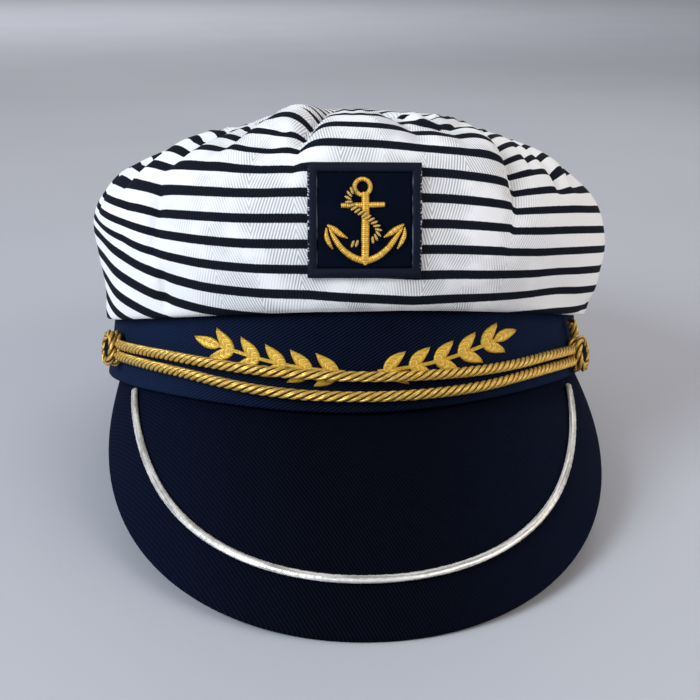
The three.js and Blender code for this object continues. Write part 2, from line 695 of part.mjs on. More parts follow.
function sideButton(spot) {
  const { radius, foot, height, dome, sides, brow } = BUTTON;
  const shoulder = [radius * brow[0], height + dome * brow[1]];
  const outline = [[0, foot], [radius, foot], [radius, height], shoulder, [0, height + dome]];
  const turned = new THREE.LatheGeometry(outline.map(([r, h]) => new THREE.Vector2(r, h)), sides);
  turned.rotateX(Math.PI / 2);
  turned.deleteAttribute('uv');
  turned.deleteAttribute('normal');
  return standingOut(facingOut(withoutSlivers(mergeVertices(turned, 1e-4))), spot);
}

/** Drops the triangles that the pole of a lathe leaves with no area. */
function withoutSlivers(geometry) {
  const index = geometry.getIndex();
  const kept = [];
  for (let i = 0; i < index.count; i += 3) {
    const [a, b, c] = [index.getX(i), index.getX(i + 1), index.getX(i + 2)];
    if (a !== b && b !== c && c !== a) kept.push(a, b, c);
  }
  geometry.setIndex(kept);
  return geometry;
}

/** Two turns of cord wound round a side button, pressed together into one ring of two lobes. */
function buttonCoil(spot) {
  const { cordRadius, lobeOverlap, above, sides, arcSteps } = COIL;
  const around = BUTTON.radius + GAP + cordRadius;
  const low = above + cordRadius;
  const high = low + 2 * cordRadius * (1 - lobeOverlap);
  const meet = Math.acos(1 - lobeOverlap);
  const up = Math.PI / 2;
  const lower = new THREE.Path().absarc(around, low, cordRadius, up + meet, up - meet + 2 * Math.PI);
  const upper = new THREE.Path().absarc(around, high, cordRadius, meet - up, 2 * Math.PI - meet - up);
  const outline = [...lower.getPoints(arcSteps), ...upper.getPoints(arcSteps).slice(1)];
  const turned = new THREE.LatheGeometry(outline, sides);
  turned.rotateX(Math.PI / 2);
  turned.deleteAttribute('uv');
  turned.deleteAttribute('normal');
  return standingOut(facingOut(withoutSlivers(mergeVertices(turned, 1e-3))), spot);
}

// ---- Assembly -----------------------------------------------------------------------------

const hat = new THREE.Group();

function add(name, geometry, color, roughness, metalness) {
  const material = new THREE.MeshStandardMaterial({ color, roughness, metalness });
  const mesh = new THREE.Mesh(geometry, material);
  mesh.name = name;
  hat.add(mesh);
}

add('crown_side', crownSide(), COLOUR.cloth, 0.8, 0);
add('crown_top', crownTop(), COLOUR.cloth, 0.8, 0);
add('band', band(), COLOUR.navy, 0.85, 0);
add('peak', peak(), COLOUR.peak, 0.8, 0);
add('peak_piping', peakPiping(), COLOUR.silver, 0.35, 0.7);
add('badge_field', badgeField(), COLOUR.peak, 0.9, 0);
add('badge_border', badgeBorder(), COLOUR.navy, 0.85, 0);
add('anchor', anchor(), COLOUR.satin, 0.4, 0.3);
add('anchor_rope', anchorRope(), COLOUR.satin, 0.4, 0.3);
add('laurel_left', laurel(-1), COLOUR.satin, 0.4, 0.3);
add('laurel_right', laurel(1), COLOUR.satin, 0.4, 0.3);
add('upper_cord', bandCord(UPPER_CORD, CORD.steps), COLOUR.gold, 0.35, 0.5);
add('lower_cord', bandCord(LOWER_CORD, CORD.steps), COLOUR.gold, 0.35, 0.5);
add('tail_cord', bandCord(TAIL_CORD, CORD.tailSteps), COLOUR.gold, 0.35, 0.5);
add('button_left', sideButton(LEFT_BUTTON), COLOUR.navy, 0.7, 0);
add('button_right', sideButton(RIGHT_BUTTON), COLOUR.navy, 0.7, 0);
add('button_coil_left', buttonCoil(LEFT_BUTTON), COLOUR.gold, 0.35, 0.5);
add('button_coil_right', buttonCoil(RIGHT_BUTTON), COLOUR.gold, 0.35, 0.5);

/** Lowest height of a piece when the hat is tipped back by an angle. */
function lowest(name, tip) {
  const p = hat.getObjectByName(name).geometry.getAttribute('position');
  let low = Infinity;
  for (let i = 0; i < p.count; i += 1) {
    low = Math.min(low, p.getZ(i) * Math.cos(tip) - p.getY(i) * Math.sin(tip));
  }
  return low;
}

/** The tip at which the peak's edge and the band's back touch the same level surface. */
function restingTip() {
  let least = 0;
  let most = 30 * DEG;
  for (let i = 0; i < 40; i += 1) {
    const middle = (least + most) / 2;
    if (lowest('peak', middle) < lowest('band', middle)) least = middle;
    else most = middle;
  }
  return (least + most) / 2;
}

hat.rotation.x = -restingTip();
const group = new THREE.Group();
group.add(hat);

// The origin is the middle of the underside of the hat's box.
const box = new THREE.Box3().setFromObject(group, true);
hat.position.set(-(box.min.x + box.max.x) / 2, -(box.min.y + box.max.y) / 2, -box.min.z);

export default group;
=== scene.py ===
"""Captain hat: striped cloth crown, navy band, drooping peak, anchor badge and gold cords.

Every piece is a surface worked out on a grid of points in the hat's own frame: millimetres, the
band's bottom edge at z = 0, the front towards -Y and the crown up +Z. The grid is then tipped
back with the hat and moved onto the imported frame.
"""

import json
import math
from types import SimpleNamespace

import bpy
import numpy as np
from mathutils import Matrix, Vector


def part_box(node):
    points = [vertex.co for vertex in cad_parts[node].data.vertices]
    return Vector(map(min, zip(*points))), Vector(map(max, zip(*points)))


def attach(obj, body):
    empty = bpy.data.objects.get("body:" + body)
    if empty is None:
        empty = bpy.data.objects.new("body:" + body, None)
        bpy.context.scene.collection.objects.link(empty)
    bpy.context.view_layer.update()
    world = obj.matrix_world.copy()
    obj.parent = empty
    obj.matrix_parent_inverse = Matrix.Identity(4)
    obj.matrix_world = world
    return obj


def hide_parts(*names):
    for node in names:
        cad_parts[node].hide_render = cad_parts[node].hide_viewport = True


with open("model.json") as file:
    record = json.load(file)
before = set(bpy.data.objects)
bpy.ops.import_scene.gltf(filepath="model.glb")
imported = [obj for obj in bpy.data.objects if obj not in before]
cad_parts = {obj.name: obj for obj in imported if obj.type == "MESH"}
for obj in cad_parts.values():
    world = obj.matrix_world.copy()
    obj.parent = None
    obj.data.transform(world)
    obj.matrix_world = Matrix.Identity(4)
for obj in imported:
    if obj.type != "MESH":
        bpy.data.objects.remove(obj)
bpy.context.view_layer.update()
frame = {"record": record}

bl_info = {
    "name": "Captain hat",
    "version": (1, 0, 0),
    "blender": (4, 2, 0),
    "location": "View3D > Sidebar > Hat",
    "description": "Builds a striped captain hat with its band, peak, badge and cords",
    "category": "Add Mesh",
}

MM = 0.001

# The band's map runs round it as on a drum of this radius, in millimetres.
BAND_MAP_RADIUS = 95

# Rows of the fine grid between two rings of the crown, on which the stripes are laid out.
FINE_ROWS = 12

# Up to this ring a stripe keeps its height in the cloth as cut. Past it, the cloth's own length
# up the crown is counted.
TURN_RING = 6

# The ring whose length gives the distance round the crown.
BELLY_RING = 4.0

# Millimetres of cloth between two rings near the seam.
RING_AT_SEAM = 13.0

# Heights in the side cloth as cut, and how far up each of them runs at the crown's sides.
LOW_THREAD, LOW_RISE = 35, 24.8
HIGH_THREAD, HIGH_RISE = 60, 11.8

# Degrees from the front at which the side cloth runs up most.
SIDE_TURN = 95

# Points along a cord's way before it is walked evenly, and for each of its places after.
CORD_SAMPLES, CORD_STEPS = 900, 60

# Where along a cord its turns are longest, and over how much of it, as shares of its length.
SLACK_MIDDLE, SLACK_REACH = 0.47, 0.2

# Points along the piping's way before and after it is walked evenly, and round its profile.
PIPING_SAMPLES, PIPING_STEPS, PIPING_SIDES = 700, 620, 16

# Half the floor's width, in metres.
FLOOR_REACH = 9

# Steps of the stitches: how far apart along the rope they lie, and how long half of one is.
ROPE_STEP, ROPE_REACH = 1.22, 1.05


# ---- Tables of shape ----------------------------------------------------------------------


def table(columns, rows):
    """Rows of a table as a dict of arrays, one for each named column."""
    return {name: np.array(column) for name, column in zip(columns.split(), zip(*rows))}


def records(columns, rows):
    """Rows of a table as records, each with a field for every named column."""
    return [SimpleNamespace(**dict(zip(columns.split(), row))) for row in rows]


# One row per ring of the crown, from the lip over the band up to the centre of the top. On each
# of the four sides, out is the distance from the middle and up the height.
CROWN = table(
    "ring front_out front_up back_out back_up left_out left_up right_out right_up round",
    [
        ("lip", 99.6, 28, 99.6, 24.5, 91.2, 21.6, 91.2, 20, 2),
        ("roll", 101.6, 29.6, 101.6, 24.3, 91.8, 21.4, 92.2, 19.5, 2.02),
        ("overhang", 103.2, 33, 103.6, 26.5, 92, 23.8, 93.2, 21.8, 2.06),
        ("lower", 105.2, 42, 107, 34, 92, 33, 96.4, 31.6, 2.15),
        ("belly", 106, 54, 108, 46, 93.5, 46.5, 99.2, 45.5, 2.2),
        ("upper", 105.4, 66.5, 106.5, 58, 94.6, 59, 97, 58.5, 2.2),
        ("turn", 103.4, 78, 102, 68, 89.2, 70, 88.9, 68, 2.2),
        ("shoulder", 97, 86.5, 95, 76.5, 79, 77.2, 79.5, 74, 2.15),
        ("top_seam", 86, 91, 83, 83, 64.5, 83, 67, 81, 2.1),
        ("top_outer", 62, 94, 60, 89, 43.5, 89.5, 46, 89, 2),
        ("top_inner", 32, 97, 32, 94, 22, 95.5, 24, 95.2, 2),
        ("centre", 0, 98.5, 0, 98.5, 0, 98.5, 0, 98.5, 2),
    ],
)
LAST_RING = len(CROWN["round"]) - 1

# Gathers that run up over the shoulder. Angles are degrees from the front, positive to +X.
# left and right are how far each flank reaches, depth how deep the valley is. drag is how far
# the stripes sink beside it, over drag_left and drag_right.
PLEATS = records(
    "name foot_angle foot_ring head_angle head_ring left right depth drag drag_left drag_right",
    [
        ("left_side", -84, 6, -74, 9.2, 5, 7, 3, 0.8, 6, 3),
        ("left_corner", -57, 5.4, -47, 9, 5, 6, 3.4, 0.7, 8, 3),
        ("left_front", -42, 5.8, -31, 9.2, 5, 6, 3.4, 0.7, 9, 3),
        ("left_ridge", -28, 6.1, -24, 8.4, 6, 4, 2.8, 1, 7, 3),
        ("deep_left", -10.6, 5.7, -7.5, 9.6, 5.2, 3.6, 5.5, 6, 13, 2.2),
        ("front_tuck", 12, 6.3, 6, 9, 4, 5, 2.2, 0, 4, 4),
        ("front_right", 21, 6, 19, 8.8, 6, 5, 2.4, 0, 4, 4),
        ("deep_right", 27.5, 4.2, 38.5, 9, 3.5, 8, 5.5, -4.5, 1.2, 12),
        ("right_front", 44, 5.2, 52, 8.6, 5, 5, 2.4, 1, 4, 5),
        ("right_corner", 64, 5.8, 66, 9, 6, 5, 2.8, 0.5, 5, 5),
        ("right_side", 88, 5.6, 84, 9.4, 6, 7, 3.2, 1, 5, 5),
        ("right_rear", 112, 5.9, 104, 9, 6, 6, 3, 1, 5, 5),
        ("back_right", 137, 5.5, 130, 9.3, 7, 6, 3.4, 1, 5, 5),
        ("back", 163, 5.8, 160, 9, 6, 7, 3.2, 1, 5, 5),
        ("back_left", -170, 5.6, -168, 9.2, 7, 6, 3.4, 1, 5, 5),
        ("left_rear", -143, 5.9, -138, 9, 6, 7, 3.2, 1, 5, 5),
        ("left_back", -113, 5.5, -106, 9.2, 6, 6, 3, 1, 5, 5),
    ],
)

# Puffed places between the gathers: where each stands, its reach along and across the rings.
PUFFS = records(
    "name angle ring along rings height",
    [
        ("top_left", -14.5, 8.1, 12, 1.1, 2.3),
        ("over_right", 24, 6.2, 9, 1.2, 1.8),
        ("right_top", 50, 7, 12, 1, 1.2),
        ("left_top", -49, 7, 9, 1, 1.4),
        ("rear_top", 150, 7.4, 16, 1.2, 2.4),
        ("rear_left", -126, 7.2, 14, 1.1, 2.2),
    ],
)

# Short creases in the cloth, each a straight valley between two places on the crown. reach is
# its half width on the left of the way from start to end, far the half width on its right.
CREASES = records(
    "name start_angle start_ring end_angle end_ring reach far depth drag",
    [
        ("right_lens_low", 12.5, 7.3, 20.5, 7.05, 1.2, 3.5, 1.7, 1.6),
        ("right_lens_high", 20.5, 7.05, 27, 7.6, 1.4, 3.5, 1.5, 1.2),
        ("right_slant", 8, 8.3, 14, 7.5, 1.2, 3.5, 1.4, 1.2),
        ("right_zig_low", 43, 5.2, 47, 6.2, 1.4, 4, 1.6, 1.6),
        ("right_zig_high", 38.5, 5.9, 42, 7.0, 1.4, 3.5, 1.5, 1.6),
        ("right_zig_far", 50, 5.4, 56, 6.3, 1.6, 4, 1.4, 0.6),
        ("left_dent_high", -45, 3.4, -41, 5.4, 2.2, 4.6, 2.7, 1.4),
        ("left_dent_low", -43, 1.8, -42, 3.3, 1.8, 3.6, 2.0, 0.8),
        ("left_soft", -56, 3.8, -50, 5.2, 4, 5, 0.9, 0.6),
        ("left_edge", -72, 5.2, -66, 6.6, 2.4, 4, 1.8, 1.5),
        ("left_tuck_a", -60, 6.6, -52, 7.5, 1.6, 4, 1.4, 0.9),
        ("left_tuck_b", -42, 7.1, -35, 7.9, 1.6, 4, 1.5, 1.0),
        ("left_tuck_c", -28, 7.5, -22, 8.2, 1.4, 3.6, 1.7, 1.5),
        ("left_drape", -24, 6.5, -13.5, 6.1, 2.6, 5, 1.2, 1.4),
        ("left_fan", -20, 7.3, -13, 6.6, 1.6, 3.4, 1.2, 1.2),
        ("right_low", 62, 1.6, 78, 3.0, 3, 4, 1.1, 0.4),
        ("right_belly", 34, 2.2, 52, 2.6, 5, 6, 0.8, 0),
        ("back_low", 170, 2.5, 160, 4.6, 4, 5, 1.2, 0.5),
        ("back_mid", -150, 2.2, -158, 4.8, 4, 5, 1.2, 0.5),
        ("rear_side", 120, 2.4, 128, 4.8, 4, 5, 1.2, 0.5),
        ("rear_left_low", -112, 2.6, -120, 4.6, 4, 5, 1.1, 0.5),
    ],
)

# The rope's way round the anchor, from the ring down.
ROPE_ROUTE = [
    (-2.8, 9.4), (-4.4, 8.2), (-5.2, 6.0), (-3.9, 3.8), (-1.3, 2.0), (1.3, 0.4), (3.2, -1.5),
    (3.9, -3.6), (2.7, -5.4), (0.6, -6.4), (-2.2, -6.8), (-4.7, -7.0),
]

# Where each cord's middle runs over the band: angle and height.
UPPER_CORD = [
    (-62.7, 13.5), (-52, 13), (-42, 12.3), (-31, 10.8), (-21, 9.3), (-10, 8.2), (1, 7.4),
    (12, 7.2), (24, 7.4), (34, 8.2), (45, 9.4), (56.7, 9.6),
]
LOWER_CORD = [
    (-62.7, 9.6), (-54, 9), (-46, 8.2), (-37, 6.9), (-29, 5), (-21, 3.2), (-11, 1.8), (1, 1.2),
    (12, 1.3), (24, 2.2), (35, 4), (45, 5.2), (56.7, 5.6),
]
TAIL_CORD = [(59.9, 14.4), (59.2, 17.2), (58.2, 19.6)]


# ---- Settings -----------------------------------------------------------------------------


def length(name, millimetres, description):
    """A length property, given in millimetres and kept in metres."""
    return bpy.props.FloatProperty(
        name=name, description=description, default=millimetres * MM, subtype="DISTANCE",
        unit="LENGTH", precision=5,
    )


def angle_of(name, degrees, description):
    """An angle property, given in degrees and kept in radians."""
    return bpy.props.FloatProperty(
        name=name, description=description, default=math.radians(degrees), subtype="ANGLE",
    )


def number(name, value, description):
    """A plain number property."""
    return bpy.props.FloatProperty(name=name, description=description, default=value)


def count(name, value, description):
    """A property for a whole number of one or more."""
    return bpy.props.IntProperty(name=name, description=description, default=value, min=1)


class HatBandSettings(bpy.types.PropertyGroup):
    half_width_bottom: length("Half width, bottom", 91.5, "Half the band's width at its hem")
    half_depth_bottom: length("Half depth, bottom", 99.5, "Half the band's depth at its hem")
    half_width_top: length("Half width, top", 88.5, "Half the band's width at its top")
    half_depth_top: length("Half depth, top", 97, "Half the band's depth at its top")
    roundness: number("Roundness", 1.93, "Exponent of the oval, where 2 is an ellipse")
    height: length("Height", 27.4, "Height of the band")
    wall: length("Wall", 2.6, "Thickness of the band")
    hem_bulge: length("Hem bulge", 0.9, "How far the hem stands out")
    hem_rise: length("Hem rise", 1.2, "Height of the hem's fullest line")
    hem_height: length("Hem height", 4.5, "Height of the hem")
    hem_step: length("Hem step", 0.3, "How far the hem's upper edge stands out")
    front_dip: length("Front dip", 4, "How much lower the front edge hangs")
    dip_power: number("Dip power", 5, "How narrow the dip is")
    gap: length("Gap", 0.3, "Clearance between pieces")
    columns: count("Columns", 420, "Columns of the mesh round the band")


class HatCrownSettings(bpy.types.PropertyGroup):
    wall: length("Wall", 1.8, "Thickness of the crown")
    rim_in: length("Rim in", 2.1, "How far inside the band's face the rim stands")
    tuck_out: length("Tuck out", 0.6, "How far the lip's hidden face is outside the band")
    seam_ring: number("Seam ring", 8, "The ring at which the top panel is sewn on")
    seam_gap: number("Seam gap", 0.012, "Half the gap at the seam, in rings")
    seam_depth: length("Seam depth", 0.8, "Depth of the groove along the seam")
    pucker: length("Pucker", 0.55, "Height of the small gathers along the seam")
    fold_power: number("Fold sharpness", 1.4, "Exponent of a fold's flanks, where 2 is soft")
    deep_power: number("Deep fold sharpness", 1.1, "The same for the two deepest folds")
    ripple: length("Ripple", 0.5, "Height of the cloth's slow unevenness")
    columns: count("Columns", 480, "Columns of the mesh round the crown")
    rows: count("Rows", 160, "Rows of the mesh from the lip to the seam")
    top_rows: count("Top rows", 60, "Rows of the mesh across the top panel")
    crowding: number("Crowding", 20, "Degrees by which the columns crowd towards the front")
    pitch: length("Stripe pitch", 7.85, "Distance from one dark stripe to the next")
    stripe: length("Stripe width", 2.9, "Width of a dark stripe")
    stripe_left: length("Stripe spread", 0.4, "Extra half width of a stripe at the far left")
    stripe_at: length("Stripe place", 33.2, "Height of the middle of one dark stripe in front")


class HatPeakSettings(bpy.types.PropertyGroup):
    length: length("Length", 76.4, "Length of the peak at the front")
    wall: length("Wall", 2.2, "Thickness of the peak")
    half_span: angle_of("Half span", 73.2, "How far round the band the peak reaches")
    droop: angle_of("Droop", 44, "Slope below the band's plane")
    side_droop: angle_of("Side droop", 8, "Extra slope at the sides")
    fan: number("Fan", 0.79, "How far the peak's direction turns with the band's")
    spread: number("Spread", 2.15, "How far round the full length is kept")
    taper: number("Taper", 1.41, "How the length falls off towards the ends")
    arch: length("Arch", 3, "Crown of the peak along its length")
    inset: length("Inset", 2.2, "How far its root sits inside the band's face")
    lip: length("Lip", 0.8, "How far the rounded edge stands beyond the faces")
    heel_drop: length("Heel drop", 0.3, "Its root's underside, below the top face's root")
    end_share: number("End share", 0.975, "Share of the half span at which it stops")
    piping_from_edge: length("Piping from edge", 16, "Piping to edge at the front")
    piping_drift: length("Piping drift", 4, "How much further in the piping is at 45 degrees")
    piping_ends: length("Piping ends", 1.4, "How much further in the piping is at its ends")
    piping_from_band: length("Piping from band", 1.8, "Least distance from the peak's root")
    piping_left: angle_of("Piping left end", -57.1, "Where the piping starts on the left")
    piping_right: angle_of("Piping right end", 55.8, "Where the piping ends on the right")
    piping_half_width: length("Piping half width", 1.25, "Half the piping's width")
    piping_height: length("Piping height", 1.7, "How far the piping stands up")
    piping_above: length("Piping above", 0.2, "Clearance under the piping")


class HatBadgeSettings(bpy.types.PropertyGroup):
    size: length("Size", 34.4, "Side of the square badge")
    middle_x: length("Middle X", 1.1, "Where its middle is across the hat")
    middle_z: length("Middle Z", 55.9, "Height of its middle")
    turn: angle_of("Turn", -0.8, "How far it is turned")
    field: length("Field", 1.0, "Thickness of the field")
    border: length("Border", 1.7, "Thickness of the border")
    border_width: length("Border width", 3.0, "Width of the border")
    edge_in: length("Edge", 0.8, "How far in the border's rounded edge reaches")
    above: length("Above", 0.45, "Clearance over the crown")
    stitch_width: length("Stitch width", 0.42, "Spacing of the satin stitches")
    relief: length("Relief", 1.25, "How far the anchor's stitches stand up")


class HatLaurelSettings(bpy.types.PropertyGroup):
    start_x: length("Start X", 5, "Where a stem starts across the band")
    end_x: length("End X", 46, "Where a stem ends across the band")
    start_z: length("Start Z", 8.8, "Height of a stem's start")
    end_z: length("End Z", 17, "Height of a stem's end")
    sag: length("Sag", 1.5, "How far the stem hangs below a straight line")
    stem_width: length("Stem width", 1.3, "Width of the stem")
    leaf_length: length("Leaf length", 8.8, "Length of a leaf")
    leaf_width: length("Leaf width", 3.9, "Width of a leaf")
    leaf_angle: angle_of("Leaf angle", 36, "How far a leaf leans off the stem")
    relief: length("Relief", 0.9, "How far the leaves stand up")
    above: length("Above", 0.25, "Clearance over the band")
    pairs: count("Pairs", 5, "Pairs of leaves on a stem")


class HatCordSettings(bpy.types.PropertyGroup):
    strand: length("Strand radius", 0.74, "Radius of one strand")
    helix: length("Helix radius", 0.98, "Distance of a strand's middle from the cord's")
    twist: length("Twist", 9.6, "Length of one full turn of the cord")
    slack: number("Slack", 0.5, "How much longer the turns are in the middle of a cord")
    off_band: length("Off band", 3.2, "Distance of a cord's middle from the band")
    coil_strand: length("Coil strand radius", 0.74, "Radius of one strand in the coils")
    button: length("Button radius", 3.4, "Radius of a side button")
    button_foot: length("Button foot", 0.65, "Clearance under a side button")
    button_height: length("Button height", 5.2, "Height of a side button's edge")
    button_dome: length("Button dome", 1.2, "Height of its dome")
    left_angle: angle_of("Left button angle", -66.5, "Where the left button is round the band")
    left_z: length("Left button Z", 11.8, "Height of the left button")
    right_angle: angle_of("Right button angle", 60.5, "Where the right button is round the band")
    right_z: length("Right button Z", 7.4, "Height of the right button")


class HatStageSettings(bpy.types.PropertyGroup):
    eye: bpy.props.FloatVectorProperty(
        name="Camera place", description="Where the camera stands, in the hat's frame",
        default=(-23.6 * MM, -453.4 * MM, 52.0 * MM), subtype="TRANSLATION", unit="LENGTH",
    )
    target: bpy.props.FloatVectorProperty(
        name="Camera target", description="What it looks at, in the hat's frame",
        default=(2.0 * MM, -1.31 * MM, 5.86 * MM), subtype="TRANSLATION", unit="LENGTH",
    )
    lens: number("Lens", 58.83, "Focal length in millimetres on a 36 mm sensor")
    key_power: number("Key power", 17.0, "Power of the main light in watts")
    fill_power: number("Fill power", 5.6, "Power of the fill light in watts")
    rim_power: number("Rim power", 3.0, "Power of the light behind in watts")
    side_power: number("Side power", 2.2, "Power in watts of the warm light on the right")
    far_power: number("Far power", 50.0, "Power in watts of the light on the floor far behind")
    world_strength: number("World strength", 0.5, "Strength of the room's light")


def sizes(settings):
    """The settings as plain numbers, lengths in millimetres and angles in degrees."""
    values = {}
    for prop in settings.bl_rna.properties:
        if prop.identifier in ("rna_type", "name"):
            continue
        value = getattr(settings, prop.identifier)
        scale = {"LENGTH": 1 / MM, "ROTATION": math.degrees(1)}.get(getattr(prop, "unit", ""), 1)
        values[prop.identifier] = np.array(value) * scale if scale != 1 else value
    return SimpleNamespace(**values)


# ---- Small mathematics --------------------------------------------------------------------


def power(value, exponent):
    """The value's size to an exponent, with the value's sign."""
    return np.sign(value) * np.abs(value) ** exponent


def smooth(low, high, x):
    """0 below low, 1 above high, and t squared times 3 - 2t between them."""
    t = np.clip((x - low) / (high - low), 0, 1)
    return t * t * (3 - 2 * t)


def turn_between(a, b):
    """Degrees between two directions, from -180 to 180."""
    return np.mod(a - b + 180, 360) - 180


def unit(vectors):
    """The vectors divided by their lengths."""
    return vectors / np.maximum(np.linalg.norm(vectors, axis=-1, keepdims=True), 1e-9)


def stacked(*parts):
    """Arrays spread to one shape and set side by side as the last axis."""
    return np.stack(np.broadcast_arrays(*parts), axis=-1).astype(float)


def closed(rows):
    """The rows with their first column once more after their last."""
    return np.concatenate([rows, rows[:, :1]], axis=1)


def on_oval(angle, half_width, half_depth, roundness, z):
    """Points of a superellipse at angles from the front."""
    s = power(np.sin(np.radians(angle)), 2 / roundness)
    c = power(np.cos(np.radians(angle)), 2 / roundness)
    return stacked(half_width * s, -half_depth * c, z)


def through(points, samples):
    """A smooth curve through points, sampled evenly by share from 0 to 1. Between two points it
    is the Catmull-Rom cubic, whose slope at a point runs between that point's neighbours."""
    points = np.asarray(points, float)
    last = len(points) - 1
    place = np.asarray(samples) * last
    k = np.clip(np.floor(place).astype(int), 0, last - 1)
    t = (place - k)[..., None]
    a = points[np.maximum(k - 1, 0)]
    b = points[k]
    c = points[k + 1]
    d = points[np.minimum(k + 2, last)]
    return 0.5 * (
        2 * b + (c - a) * t + (2 * a - 5 * b + 4 * c - d) * t**2
        + (3 * b - a - 3 * c + d) * t**3
    )


def distances(curve):
    """How far each point lies along a curve: the sum of the steps up to it."""
    walked = np.cumsum(np.linalg.norm(np.diff(curve, axis=0), axis=-1), axis=0)
    return np.concatenate([np.zeros_like(walked[:1]), walked])


def read_off(where, places, rows):
    """Each column of rows, which belong to places, read off in a straight line at where."""
    return np.stack([np.interp(where, places, column) for column in rows.T], axis=-1)


def evenly(curve, steps):
    """The curve's points at even distances along it, and those distances."""
    walked = distances(curve)
    along = np.linspace(0, walked[-1], steps)
    return read_off(along, walked, curve), along


# ---- Shapes of the hat --------------------------------------------------------------------


